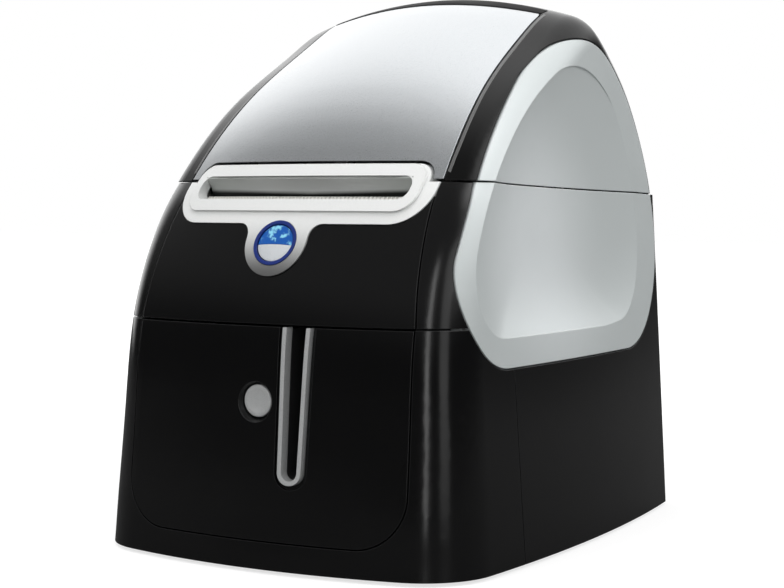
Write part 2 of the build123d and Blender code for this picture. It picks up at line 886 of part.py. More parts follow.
def lid_shell():
    """Black shell of the lid: its side bands, rear, hinge barrel and spool hangers."""
    shell = lid_shell_form() & above_seam(seam_gap)
    shell -= lid_panel_prism(seam_gap / 2)
    shell -= pad_windows(seam_gap / 2)
    shell -= bezel_notch()
    barrel = hinge_rod(hinge_barrel_radius, -hinge_barrel_half, hinge_barrel_half)
    gaps = [hinge_rod(hinge_barrel_radius + hinge_clear, x0, x1) for x0, x1 in knuckle_spans(hinge_clear)]
    shell = shell + barrel
    for gap in gaps:
        shell -= gap
    shell -= hinge_rod(hinge_pin_radius + running_fit, -BIG / 4, BIG / 4)
    return largest(shell + both_sides(spool_bracket()))


def hinge_pins():
    """Two steel pins through the knuckles."""
    pins = []
    for x0, x1 in knuckle_spans(hinge_pin_reach):
        pins.append(hinge_rod(hinge_pin_radius, x0, x1))
    return pins


# Gears

def gear_face(teeth, module, phase=0.0, bore=0.0):
    """Spur gear outline with straight flanks; one tooth stands at phase degrees."""
    pitch = teeth * module / 2
    line = []
    for i in range(teeth):
        middle = radians(phase + 360 * i / teeth)
        for radius, side in ((pitch - 1.25 * module, -1), (pitch + 0.95 * module, -1),
                             (pitch + 0.95 * module, 1), (pitch - 1.25 * module, 1)):
            half = pi * module / 4 - gear_backlash / 2 - (radius - pitch) * tan(radians(20))
            angle = middle + side * half / radius
            line.append((radius * cos(angle), radius * sin(angle)))
    face = make_face(Polyline(*line, close=True))
    return face - Circle(bore) if bore else face


def mesh_phase(phase, teeth, angle, other_teeth):
    """Phase of the next gear, standing at an angle from this one, that fills its gaps."""
    return angle + 180 + 180 / other_teeth - (phase - angle) * teeth / other_teeth


def gear_centre(start, teeth, other_teeth, module, angle):
    """Centre of the next gear in a train."""
    reach = (teeth + other_teeth) * module / 2
    return start[0] + reach * cos(radians(angle)), start[1] + reach * sin(radians(angle))


label_idler_at = gear_centre((platen_y, platen_z), platen_teeth, idler_teeth, label_gear_module,
                             idler_angle)
label_pinion_at = gear_centre(label_idler_at, idler_teeth, pinion_teeth, label_gear_module,
                              pinion_angle)
label_idler_phase = mesh_phase(0, platen_teeth, idler_angle, idler_teeth)
label_pinion_phase = mesh_phase(label_idler_phase, idler_teeth, pinion_angle, pinion_teeth)
tape_platen_at = (tape_x + tape_gap + tape_platen_radius, tape_platen_y)
tape_idler_at = gear_centre(tape_platen_at, tape_platen_teeth, tape_idler_teeth, tape_gear_module,
                            tape_idler_angle)
tape_pinion_at = gear_centre(tape_idler_at, tape_idler_teeth, tape_pinion_teeth, tape_gear_module,
                             tape_pinion_angle)
tape_idler_phase = mesh_phase(0, tape_platen_teeth, tape_idler_angle, tape_idler_teeth)
tape_pinion_phase = mesh_phase(tape_idler_phase, tape_idler_teeth, tape_pinion_angle,
                               tape_pinion_teeth)


# Label side: frame, roll well, print station

def side_plate():
    """Right side plate of the inner frame, with its bearings."""
    top = platen_z + 16.5
    corners = [(well_rear_y, deck_z), (well_rear_y, well_top_z), (-15, well_top_z), (-20, top),
               (-42, top), (-52, platen_z + 4), (-60, 96), (-64, 84), (-58, 75), (-40, deck_z)]
    face = make_face(Polyline(*corners, close=True))
    face = fillet([v for v in face.vertices() if v.X < -16 and v.Y > deck_z + 1], 3)
    face -= Pos(platen_y, platen_z) * Circle(platen_shaft_radius + running_fit)
    face -= Pos(head_pivot_y, head_pivot_z) * Circle(head_pivot_radius + running_fit)
    return side_prism(face, frame_half - frame_wall, frame_half)


def inner_frame():
    """Deck on four legs with the roll well, the paper guide and two side plates."""
    deck = block(-frame_half, frame_half, -40, well_rear_y, deck_z, deck_z + deck_height)
    outer, inner = roll_radius + well_gap + well_wall, roll_radius + well_gap
    ring = Pos(roll_y, roll_z) * (Circle(outer) - Circle(inner))
    ring &= Pos(roll_y, roll_z - BIG / 2 - (roll_z - well_top_z)) * Rectangle(BIG, BIG)
    well = side_prism(ring, -frame_half, frame_half)
    frame = deck + well
    for x in (-24, 21):
        rib = block(x, x + 3, roll_y - 24, roll_y + 24, deck_z, deck_z + 12)
        frame += rib - rod_x(roll_y, roll_z, inner, -frame_half, frame_half)
    frame += both_sides(side_plate())
    front_edge = roll_y - inner
    frame += block(-frame_half, frame_half, guide_front_y, front_edge + 2.6, guide_top_z - 1, guide_top_z)
    for x, y in leg_places():
        reach = block(min(x, 0), max(x, 0), y - leg_radius, y + leg_radius, deck_z, deck_z + deck_height)
        leg = rod_z(x, y, leg_radius, foot_height + base_height, deck_z + deck_height)
        frame += reach + leg - rod_z(x, y, screw_radius + 0.1, 0, screw_top_z + 1)
    frame += rod_x(label_idler_at[0], label_idler_at[1], idler_stub_radius, label_gear_x0 - 0.6, -frame_half)
    frame -= rod_x(label_pinion_at[0], label_pinion_at[1], motor_shaft_radius + running_fit,
                   -frame_half - 1, -frame_half + frame_wall + 1)
    frame += rod_x(lever_y, lever_z, lever_pivot_radius, -frame_half + frame_wall - 0.5, lever_x1 + 0.8)
    frame -= block(lever_x0 - 0.8, lever_x1 + 0.8, guide_front_y - 1, lever_y + 5, guide_top_z - 2,
                   guide_top_z + 1)
    frame -= block(guide_slot_x0, guide_slot_x1, guide_y - 1.2, guide_y + 1.2, guide_top_z - 2, guide_top_z + 1)
    return largest(frame)


def leg_places():
    """Plan positions of the inner frame's legs."""
    return [(x, y) for x in (-leg_x, leg_x) for y in (leg_front_y, leg_rear_y)]


def feed_motor():
    """Stepper motor of the label feed, on the left side plate."""
    y, z = label_pinion_at
    x0 = -frame_half + frame_wall
    can = rod_x(y, z, motor_radius, x0, x0 + motor_length)
    can = chamfer(can.edges().filter_by(GeomType.CIRCLE), 0.6)
    boss = rod_x(y, z, 4, x0 + motor_length, x0 + motor_length + 1.5)
    return can + boss - rod_x(y, z, motor_shaft_radius + running_fit, x0 - 1, x0 + motor_length - 4)


def label_pinion():
    """Motor pinion of the label feed with its shaft."""
    y, z = label_pinion_at
    face = Pos(y, z) * gear_face(pinion_teeth, label_gear_module, label_pinion_phase)
    pinion = side_prism(face, label_gear_x0, label_gear_x0 + label_gear_width)
    return pinion + rod_x(y, z, motor_shaft_radius, label_gear_x0 - 0.4,
                          -frame_half + frame_wall + motor_length - 6)


def label_idler():
    """Intermediate gear of the label feed."""
    face = Pos(*label_idler_at) * gear_face(idler_teeth, label_gear_module, label_idler_phase,
                                            idler_stub_radius + running_fit)
    return side_prism(face, label_gear_x0, label_gear_x0 + label_gear_width)


def platen_shaft():
    """Steel shaft of the label platen."""
    shaft = rod_x(platen_y, platen_z, platen_shaft_radius, label_gear_x0 - 0.6, frame_half + 1)
    return chamfer(shaft.edges(), 0.3)


def platen_roller():
    """Rubber sleeve that drives the label."""
    sleeve = rod_x(platen_y, platen_z, platen_radius, -platen_half, platen_half)
    sleeve = chamfer(sleeve.edges(), 0.5)
    return sleeve - rod_x(platen_y, platen_z, platen_shaft_radius + glue_gap, -platen_half, platen_half)


def platen_gear():
    """Gear on the platen's left end."""
    face = gear_face(platen_teeth, label_gear_module, 0, platen_shaft_radius + glue_gap)
    return side_prism(Pos(platen_y, platen_z) * face, label_gear_x0, label_gear_x0 + label_gear_width)


def head_bracket():
    """Heat sink bar that carries the print head, on two arms that pivot in the side plates."""
    front_y, rear_y = platen_y - head_width / 2, platen_y + head_width / 2
    half = head_arm_x
    bar_low = platen_z + platen_radius + paper_gap + head_thickness
    bar = block(-half, half, front_y, rear_y, bar_low, bar_low + head_bar_height)
    for i in range(4):
        y = front_y + 1.2 + i * 2.0
        bar -= block(-half + 6, half - 6, y, y + 1.0, bar_low + 2.6, BIG)
    arm = block(half - head_arm_wall, half, platen_y, head_pivot_y, bar_low, bar_low + head_bar_height)
    arm += rod_x(head_pivot_y, head_pivot_z, head_pivot_radius + 2, half - head_arm_wall, half)
    arm += rod_x(head_pivot_y, head_pivot_z, head_pivot_radius, half, frame_half - 0.5)
    return bar + both_sides(arm)


def print_head():
    """Thin ceramic print head under the heat sink."""
    low = platen_z + platen_radius + paper_gap
    head = block(-head_length / 2, head_length / 2, platen_y - head_width / 2 + 0.5,
                 platen_y + head_width / 2 - 0.5, low, low + head_thickness - glue_gap)
    line = rod_x(platen_y, low - 0.6, 1.0, -head_length / 2 + 2, head_length / 2 - 2)
    return head + (line & block(-BIG, BIG, -BIG, BIG, low - 0.25, low + 0.2))


def release_lever():
    """Lever that lifts the print head, with a ribbed thumb tab."""
    blade = make_hull((Pos(lever_y, lever_z) * Circle(4.2)).edges()
                      + (Pos(lever_y - 4, lever_top_z - 6) * Circle(2.4)).edges())
    lever = side_prism(blade, lever_x0, lever_x1)
    tab = block(lever_x0 - 0.3, lever_x1 + lever_tab_reach, lever_y - 6.4, lever_y - 1.8, lever_top_z - 6, lever_top_z)
    tab = fillet(tab.edges().filter_by(Axis.Z), 1.0)
    lever += tab
    for i in range(3):
        z = lever_top_z - 5 + i * 1.6
        lever += block(lever_x0, lever_x1 + lever_tab_reach - 0.2, lever_y - 6.8, lever_y - 6.2, z, z + 0.7)
    return lever - rod_x(lever_y, lever_z, lever_pivot_radius + running_fit, lever_x0 - 1, lever_x1 + 1)


def label_guide():
    """Sliding edge guide for narrow labels, hooked through the guide plate's slot."""
    x0 = guide_x
    low = guide_top_z + runner_clear
    wing = block(x0, x0 + 1.6, guide_y - 4, guide_y + 4, low, low + guide_height)
    wing = fillet(wing.edges().filter_by(Axis.X).sort_by(Axis.Z)[-2:], 2)
    foot = block(x0, x0 + 6, guide_y - 4, guide_y + 4, low, low + 1.2)
    stem = block(x0 + 1, x0 + 5, guide_y - 0.85, guide_y + 0.85, guide_top_z - 1 - runner_clear - 1.2, low + 0.2)
    hook = block(x0, x0 + 6, guide_y - 2.5, guide_y + 2.5, guide_top_z - 2.2 - runner_clear,
                 guide_top_z - 1 - runner_clear)
    return wing + foot + stem + hook


def label_spool():
    """Spool with a spindle, a left flange disc and two journals."""
    spool = rod_x(roll_y, roll_z, spindle_radius, -spool_flange_x - spool_flange_wall, spool_flange_x + 4)
    disc = rod_x(roll_y, roll_z, flange_radius, -spool_flange_x - spool_flange_wall, -spool_flange_x)
    for i in range(6):
        angle = radians(60 * i)
        y, z = roll_y + 22 * cos(angle), roll_z + 22 * sin(angle)
        disc -= rod_x(y, z, 6, -BIG / 4, BIG / 4)
    reach = spool_bracket_x + spool_bracket_wall - 0.2
    return spool + disc + rod_x(roll_y, roll_z, journal_radius, -reach, reach)


def locking_guide():
    """Disc that slides on the spindle and holds the roll from the right."""
    x0 = spool_flange_x
    disc = rod_x(roll_y, roll_z, flange_radius, x0, x0 + spool_flange_wall)
    for i in range(6):
        angle = radians(60 * i + 30)
        y, z = roll_y + 22 * cos(angle), roll_z + 22 * sin(angle)
        disc -= rod_x(y, z, 6, x0 - 1, x0 + 4)
    collar = rod_x(roll_y, roll_z, spindle_radius + 2, x0, x0 + spool_flange_wall + 2)
    return disc + collar - rod_x(roll_y, roll_z, spindle_radius + glue_gap, x0 - 1, x0 + 6)


def roll_core():
    """Cardboard core of the label roll."""
    tube = rod_x(roll_y, roll_z, core_radius, -roll_half, roll_half)
    return tube - rod_x(roll_y, roll_z, spindle_radius + glue_gap, -roll_half, roll_half)


def label_roll():
    """Wound labels on their backing."""
    roll = rod_x(roll_y, roll_z, roll_radius, -roll_half, roll_half)
    return roll - rod_x(roll_y, roll_z, core_radius + glue_gap, -roll_half, roll_half)


# Tape side: door, tray, cassette, print station

def eject_place():
    """Point on the door where the eject button's line comes out."""
    return front_crest(eject_z)


def tray_front():
    """Door of the tape tray with the tape slot, the eject button's mouth and its lever ears."""
    y0 = eject_place()
    shell = body_shell() & front_prism(door_outline(-door_gap), -BIG / 2, 0)
    shell &= block(-BIG, BIG, -BIG, BIG, -BIG, mid_seam_z - door_gap)
    boss = rod_y(eject_x, eject_z, eject_radius + eject_clear + 1.6, y0 + 1, y0 + eject_boss)
    ear_front_y = front_crest(eject_pivot_z + 3) + 1
    ear = block(ear_x, ear_x + ear_wall, ear_front_y, eject_pivot_y, eject_pivot_z - 3, eject_pivot_z + 3)
    ear += rod_x(eject_pivot_y, eject_pivot_z, 3, ear_x, ear_x + ear_wall)
    shell += boss + both_sides(ear)
    shell -= rod_x(eject_pivot_y, eject_pivot_z, eject_pin_radius + running_fit, -20, 20)
    shell -= rod_y(eject_x, eject_z, eject_radius + eject_clear, y0 - 9, y0 + eject_boss + 1)
    mouth_depth = eject_recess + 0.6
    mouth = Pos(eject_x, y0 + mouth_depth / 2 - 0.3, eject_z) * Rot(-90, 0, 0) * Cone(
        eject_mouth_radius, eject_radius + eject_clear, mouth_depth + 0.6)
    shell -= mouth
    shell -= front_prism(trim_outline(glue_gap), -BIG / 2, -60)
    groove = front_prism(trim_outline(trim_groove), -BIG / 2, -60) - body_form(trim_groove_depth)
    return largest(shell - groove)


def slot_trim():
    """Long silver U round the tape slot."""
    ring = front_prism(trim_outline() - trim_outline(-trim_wall), -BIG / 2, -60)
    return largest((body_form(-trim_proud) - body_skin[wall]) & ring)


def slot_channel():
    """Dark guide that carries the tape from the cutter to the slot."""
    top = mid_seam_z - 2 * door_gap
    ring = trim_outline() - trim_outline(-trim_wall)
    rear_y = eject_place() + wall + channel_depth
    channel = front_prism(ring, -BIG / 2, rear_y) & body_skin[wall + glue_gap]
    return largest(channel & block(-BIG, BIG, -BIG, BIG, -BIG, top))


def eject_button():
    """Round push button in the door, dished on its face, with a stem."""
    y0 = eject_place() + eject_recess
    head = rod_y(eject_x, eject_z, eject_radius, y0, y0 + eject_head)
    head = fillet(head.edges().filter_by(GeomType.CIRCLE).sort_by(Axis.Y)[0], 0.5)
    head -= Pos(eject_x, y0 - eject_dish_radius + 0.5, eject_z) * Sphere(eject_dish_radius)
    return head + rod_y(eject_x, eject_z, eject_stem_radius, y0 + eject_head, y0 + eject_length)


def eject_lever():
    """Forked latch lever behind the eject button, on its own pin."""
    y, z = eject_pivot_y, eject_pivot_z
    lever = rod_x(y, z, 2.8, -lever_half, lever_half)
    lever += block(-lever_half, lever_half, y - 1.2, y + 1.2, z, z + 9)
    lever += block(-lever_half, lever_half, y - 1.2, y + 4, z + 7.4, z + 9)
    prong = block(eject_stem_radius + 0.6, lever_half, y - 1.2, y + 1.2, eject_z - 3, z)
    lever += both_sides(prong)
    return lever + rod_x(y, z, eject_pin_radius, -ear_x - ear_wall, ear_x + ear_wall)


def tape_tray():
    """Tray of the tape side: floor, walls, long side arms with ribs, and its posts."""
    floor_top = tray_floor_z + tray_floor
    floor = block(-tray_half, tray_half, -BIG / 4, tray_rear_y, tray_floor_z, floor_top)
    side = block(tray_half - tray_wall, tray_half, -BIG / 4, tray_rear_y, tray_floor_z, tray_wall_top_z)
    arm = block(tray_half - tray_wall, tray_half, tray_rear_y - 1, tray_arm_y, tray_floor_z, tray_arm_top_z)
    rib = block(tray_half, tray_half + runner_rib, side_seam_y - 26, tray_arm_y,
                runner_rib_z, runner_rib_z + runner_rib_height)
    rear = block(-tray_half, tray_half, tray_rear_y - tray_wall, tray_rear_y, tray_floor_z, 26)
    tray = (floor + both_sides(side + arm + rib) + rear) & body_skin[wall + glue_gap]
    for x, y in tray_posts():
        tray += rod_z(x, y, post_radius, floor_top - 1, cassette_base_z + 12)
    tray += rod_z(*tape_idler_at, tape_shaft_radius, floor_top - 1, tape_gear_z + tape_gear_height + 0.6)
    tray -= rod_z(*tape_platen_at, tape_shaft_radius + running_fit, tray_floor_z - 1, floor_top + 1)
    ledge = block(cassette_x - cassette_width / 2, cassette_x + cassette_width / 2,
                  cassette_y - cassette_length / 2, cassette_y - cassette_length / 2 + 3,
                  floor_top - 0.5, cassette_base_z)
    return largest(tray + ledge + Pos(0, cassette_length - 3, 0) * ledge)


def tray_posts():
    """Plan positions of the posts that carry the cassette's spools."""
    return [(tape_spool_x, tape_spool_y), (ribbon_spool_x, ribbon_spool_y)]


def tray_runners():
    """Grooved rails on the base that carry the tray's ribs."""
    x0 = tray_half + runner_clear
    rail = block(x0, x0 + runner_rib + runner_wall, runner_front_y, tray_arm_y + 2,
                 foot_height + base_height, runner_rib_z + 5)
    groove = block(x0 - 1, tray_half + runner_rib + runner_clear, -BIG / 4, BIG / 4,
                   runner_rib_z - runner_clear, runner_rib_z + runner_rib_height + runner_clear)
    rail -= groove
    return [rail, mirror(rail, Plane.YZ)]


def tape_cassette():
    """Tape cassette with rounded corners, a sunk top and bores for its two spools."""
    low, high = cassette_base_z, cassette_base_z + cassette_height
    body = block(cassette_x - cassette_width / 2, cassette_x + cassette_width / 2,
                 cassette_y - cassette_length / 2, cassette_y + cassette_length / 2, low, high)
    body = fillet(body.edges().filter_by(Axis.Z), cassette_corner)
    body = fillet(body.faces().sort_by(Axis.Z)[-1].edges(), 1.2)
    sunk = block(cassette_x - cassette_width / 2 + 4, cassette_x + cassette_width / 2 - 4,
                 cassette_y - cassette_length / 2 + 4, cassette_y + cassette_length / 2 - 4,
                 high - 0.6, high + 1)
    body -= fillet(sunk.edges().filter_by(Axis.Z), 3)
    body -= rod_z(tape_spool_x, tape_spool_y, tape_spool_radius + running_fit, low - 1, high + 1)
    return body - rod_z(ribbon_spool_x, ribbon_spool_y, ribbon_spool_radius + running_fit, low - 1, high + 1)


def spool_hub(x, y, radius):
    """Splined hub of one cassette spool, turning on its post."""
    low, high = cassette_base_z + 0.5, cassette_base_z + cassette_height - 1.2
    hub = rod_z(x, y, radius, low, high) - rod_z(x, y, post_radius + running_fit, low - 1, high + 1)
    for i in range(6):
        angle = radians(60 * i)
        hub -= rod_z(x + post_radius * cos(angle), y + post_radius * sin(angle), 0.5, high - 6, high + 1)
    return hub


def tape_platen():
    """Rubber roller that drives the tape."""
    roller = rod_z(*tape_platen_at, tape_platen_radius, cassette_base_z + 4, cassette_base_z + cassette_height)
    return roller - rod_z(*tape_platen_at, tape_shaft_radius + glue_gap, 0, BIG / 4)


def tape_platen_gear():
    """Gear and shaft of the tape platen."""
    face = Pos(*tape_platen_at) * gear_face(tape_platen_teeth, tape_gear_module)
    gear = Pos(0, 0, tape_gear_z) * extrude(face, amount=tape_gear_height)
    return gear + rod_z(*tape_platen_at, tape_shaft_radius, tray_floor_z + 0.4,
                        cassette_base_z + cassette_height + 2.4)


def tape_idler():
    """Intermediate gear of the tape feed."""
    face = Pos(*tape_idler_at) * gear_face(tape_idler_teeth, tape_gear_module, tape_idler_phase,
                                           tape_shaft_radius + running_fit)
    return Pos(0, 0, tape_gear_z) * extrude(face, amount=tape_gear_height)


def tape_pinion():
    """Motor pinion of the tape feed with its shaft."""
    face = Pos(*tape_pinion_at) * gear_face(tape_pinion_teeth, tape_gear_module, tape_pinion_phase)
    pinion = Pos(0, 0, tape_gear_z) * extrude(face, amount=tape_gear_height)
    return pinion + rod_z(*tape_pinion_at, tape_shaft_radius, tape_gear_z, tape_motor_z + tape_motor_height - 4)


def tape_motor():
    """Stepper motor of the tape feed on two spacers."""
    x, y = tape_pinion_at
    motor = rod_z(x, y, tape_motor_radius, tape_motor_z, tape_motor_z + tape_motor_height)
    motor = chamfer(motor.edges().filter_by(GeomType.CIRCLE).sort_by(Axis.Z)[-1], 0.6)
    plate = block(x - tape_motor_ear, x + tape_motor_ear, y - 3, y + 3, tape_motor_z, tape_motor_z + 1.2)
    motor += fillet(plate.edges().filter_by(Axis.Z), 2.9)
    for side in (-1, 1):
        motor += rod_z(x + side * (tape_motor_ear - 3), y, 1.8, tray_floor_z + tray_floor, tape_motor_z + 0.5)
    return motor - rod_z(x, y, tape_shaft_radius + running_fit, 0, tape_motor_z + tape_motor_height - 2)


def tape_head():
    """Tape print head on its upright heat sink, left of the tape."""
    rear_x = tape_x - tape_gap
    low = tray_floor_z + tray_floor
    sink = block(rear_x - 4.2, rear_x - 0.9, tape_platen_y - 5, tape_platen_y + 5, low,
                 cassette_base_z + cassette_height)
    for i in range(4):
        y = tape_platen_y - 4 + i * 2.2
        sink -= block(rear_x - 5, rear_x - 2.8, y, y + 1.1, low + 4, BIG)
    gear_room = (tape_platen_teeth / 2 + 1) * tape_gear_module + 0.5
    sink -= rod_z(*tape_platen_at, gear_room, 0, tape_gear_z + tape_gear_height + 0.5)
    face = block(rear_x - 0.95, rear_x, tape_platen_y - 3, tape_platen_y + 3,
                 cassette_base_z + 4, cassette_base_z + cassette_height)
    return sink + face


def tape_bridge():
    """Upper bearing plate of the tape platen on two posts."""
    x, y = tape_platen_at
    z0 = cassette_base_z + cassette_height + 0.6
    x0 = x + tape_platen_radius + 4
    plate = block(x - 4, x0 + 2, y - 5, y + 5, z0, z0 + bridge_height)
    plate = fillet(plate.edges().filter_by(Axis.Z), 2)
    post = block(x0 - 1, x0 + 2, y - 5, y - 2.5, tray_floor_z + tray_floor, z0 + 0.5)
    plate += post
    return plate - rod_z(x, y, tape_shaft_radius + running_fit, z0 - 1, z0 + bridge_height + 1)


def cutter_solenoid():
    """Solenoid that drives the tape cutter, on the tray floor."""
    x1 = tape_x - 9
    body = block(x1 - 16, x1, cutter_y - 5, cutter_y + 6, tray_floor_z + tray_floor, 40)
    body = fillet(body.edges().filter_by(Axis.Z), 1.5)
    slot = block(x1 - 8, x1 + 1, cutter_y - 0.9, cutter_y + 0.9, cutter_low_z - 0.4, 41)
    return body - slot


def cutter_blade():
    """Steel cutter blade with a slanted edge, ahead of the tape platen."""
    x0, x1 = tape_x - 13, tape_x - 0.9
    high = cassette_base_z + cassette_height
    line = [(x0, cutter_low_z), (x1 - 1.5, cutter_low_z), (x1, high), (x1 - 6, high), (x1 - 8.4, 39),
            (x0, 39)]
    return front_prism(make_face(Polyline(*line, close=True)), cutter_y - 0.4, cutter_y + 0.4)


def cutter_anvil():
    """Fixed bar that the cutter blade works against, right of the tape."""
    x0 = tape_x + cutter_travel + 0.2
    return block(x0, x0 + 2.4, cutter_y - 1.5, cutter_y + 1.5, tray_floor_z + tray_floor, 50)


# Base, feet and electronics

def base_plate():
    """Bottom plate with foot recesses, screw counterbores, board posts and stiffening ribs."""
    low, high = foot_height, foot_height + base_height
    plate = extrude(plan_outline(low, wall + base_clear), amount=base_height)
    for x, y in foot_places():
        plate -= rod_z(x, y, foot_radius + glue_gap, low - 1, low + foot_seat)
    for x, y in leg_places():
        plate -= rod_z(x, y, screw_radius + 0.2, 0, high + 1)
        plate -= rod_z(x, y, screw_head_radius + 0.3, 0, low + screw_head_height + 0.2)
    for x, y in board_posts():
        plate += rod_z(x, y, 3, high - 1, board_z)
    for x in (-30, -10, 10, 30):
        plate += block(x - 0.8, x + 0.8, -74, 20, high - 0.5, high + 2)
    return plate


def foot_places():
    """Plan positions of the rubber feet."""
    return [(x, y) for x in (-foot_x, foot_x) for y in (foot_front_y, foot_rear_y)]


def rubber_feet():
    """Four soft feet."""
    feet = []
    for x, y in foot_places():
        foot = rod_z(x, y, foot_radius, 0, foot_height + foot_seat)
        feet.append(chamfer(foot.edges().filter_by(GeomType.CIRCLE).sort_by(Axis.Z)[0], 0.5))
    return feet


def base_screws():
    """Four screws up through the base into the inner frame's legs."""
    low = foot_height + 0.2
    screws = []
    for x, y in leg_places():
        head = rod_z(x, y, screw_head_radius, low, low + screw_head_height)
        head -= Pos(x, y, low) * Box(3.2, 0.8, 1.2) + Pos(x, y, low) * Box(0.8, 3.2, 1.2)
        screws.append(head + rod_z(x, y, screw_radius, low + screw_head_height, screw_top_z))
    return screws


def board_posts():
    """Plan positions of the circuit board's posts."""
    x, y = board_width / 2 - 4, board_length / 2 - 4
    return [(sx * x, board_y + sy * y) for sx in (-1, 1) for sy in (-1, 1)]


def circuit_board():
    """Main circuit board."""
    board = block(-board_width / 2, board_width / 2, board_y - board_length / 2,
                  board_y + board_length / 2, board_z, board_z + board_thickness)
    board = fillet(board.edges().filter_by(Axis.Z), 1.5)
    for x, y in board_posts():
        board -= rod_z(x, y, 1.3, board_z - 1, board_z + 3)
    return board


def board_parts():
    """Chips, capacitors and connectors on the board."""
    z = board_z + board_thickness
    parts = [
        block(-12, 4, 38, 54, z, z + 1.6),
        block(14, 22, 40, 50, z, z + 1.4),
        block(-30, -20, 34, 46, z, z + 2.2),
        block(18, 30, 60, 66, z, z + 6.0),
        block(-34, -28, 52, 64, z, z + 5.0),
        rod_z(-18, 64, 4.0, z, z + 11.0),
        rod_z(28, 34, 3.2, z, z + 8.0),
        rod_z(12, 68, 2.6, z, z + 7.0),
    ]
    return parts


def power_inlet():
    """Barrel power inlet on the board's rear edge."""
    rear_y = rear_wall_y(socket_z)
    body = block(inlet_x - 7, inlet_x + 7, rear_y - 15, rear_y - wall - 0.6, board_z + board_thickness,
                 socket_z + 6.5)
    nose = rod_y(inlet_x, socket_z, inlet_radius, rear_y - wall - 1, rear_y - 0.3)
    bore = rod_y(inlet_x, socket_z, 3.1, rear_y - 11, rear_y + 1)
    pin = rod_y(inlet_x, socket_z, 1.0, rear_y - 12, rear_y - 2)
    return body + nose - bore + pin


def rear_wall_y(z):
    """Outer face of the rear wall at one height."""
    return casing_depth / 2 - rear_draft * z


def usb_socket():
    """Square data socket on the board's rear edge."""
    rear_y = rear_wall_y(socket_z)
    shell = block(usb_x - usb_width / 2, usb_x + usb_width / 2, rear_y - 16, rear_y - 0.3,
                  socket_z - usb_height / 2, socket_z + usb_height / 2)
    foot = block(usb_x - 4, usb_x + 4, rear_y - 15, rear_y - 9, board_z + board_thickness, socket_z)
    hollow = block(usb_x - 4.2, usb_x + 4.2, rear_y - 12, rear_y + 1, socket_z - 3.9, socket_z + 3.9)
    hollow = chamfer(hollow.edges().filter_by(Axis.Y).sort_by(Axis.Z)[-2:], 1.6)
    tongue = block(usb_x - 2.8, usb_x + 2.8, rear_y - 13, rear_y - 3, socket_z - 1.6, socket_z + 1.6)
    return shell + foot - hollow + tongue


pieces = {
    "main_casing": main_casing,
    "front_frame": front_frame,
    "centre_panel": centre_panel,
    "slot_bezel": slot_bezel,
    "slot_deflector": slot_deflector,
    "tear_bar": tear_bar,
    "button_ring": button_ring,
    "side_pad_lower_right": side_pad_lower,
    "side_pad_lower_left": lambda: mirror(side_pad_lower(), Plane.YZ),
    "base_plate": base_plate,
    "rubber_feet": rubber_feet,
    "base_screws": base_screws,
    "tray_runners": tray_runners,
    "inner_frame": inner_frame,
    "feed_motor": feed_motor,
    "circuit_board": circuit_board,
    "board_parts": board_parts,
    "power_inlet": power_inlet,
    "usb_socket": usb_socket,
    "hinge_pins": hinge_pins,
    "lid_shell": lid_shell,
    "lid_panel": lid_panel,
    "side_pad_upper_right": side_pad_upper,
    "side_pad_upper_left": lambda: mirror(side_pad_upper(), Plane.YZ),
    "label_spool": label_spool,
    "locking_guide": locking_guide,
    "roll_core": roll_core,
    "label_roll": label_roll,
    "platen_shaft": platen_shaft,
    "platen_roller": platen_roller,
    "platen_gear": platen_gear,
    "label_idler": label_idler,
    "label_pinion": label_pinion,
    "head_bracket": head_bracket,
    "print_head": print_head,
    "release_lever": release_lever,
    "label_guide": label_guide,
    "feed_button": feed_button,
    "feed_lens": feed_lens,
    "tape_tray": tape_tray,
    "tray_front": tray_front,
    "slot_trim": slot_trim,
    "slot_channel": slot_channel,
    "tape_cassette": tape_cassette,
    "tape_head": tape_head,
    "tape_bridge": tape_bridge,
    "tape_motor": tape_motor,
    "cutter_solenoid": cutter_solenoid,
    "cutter_anvil": cutter_anvil,
    "cutter_blade": cutter_blade,
    "tape_platen": tape_platen,
    "tape_platen_gear": tape_platen_gear,
    "tape_idler": tape_idler,
    "tape_pinion": tape_pinion,
    "tape_spool_hub": lambda: spool_hub(tape_spool_x, tape_spool_y, tape_spool_radius),
    "ribbon_spool_hub": lambda: spool_hub(ribbon_spool_x, ribbon_spool_y, ribbon_spool_radius),
    "eject_button": eject_button,
    "eject_lever": eject_lever,
}


def save():
    """Write every piece to its own file."""
    os.makedirs("parts", exist_ok=True)
    for name, make in pieces.items():
        piece = make()
        if isinstance(piece, list):
            piece = Compound(children=[solid for part in piece for solid in part.solids()])
        piece.label = name
        export_step(piece, f"parts/{name}.step")


save()
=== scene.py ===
import json
import math

import bmesh
import bpy
import numpy as np
from mathutils import Matrix, Vector
from mathutils.bvhtree import BVHTree

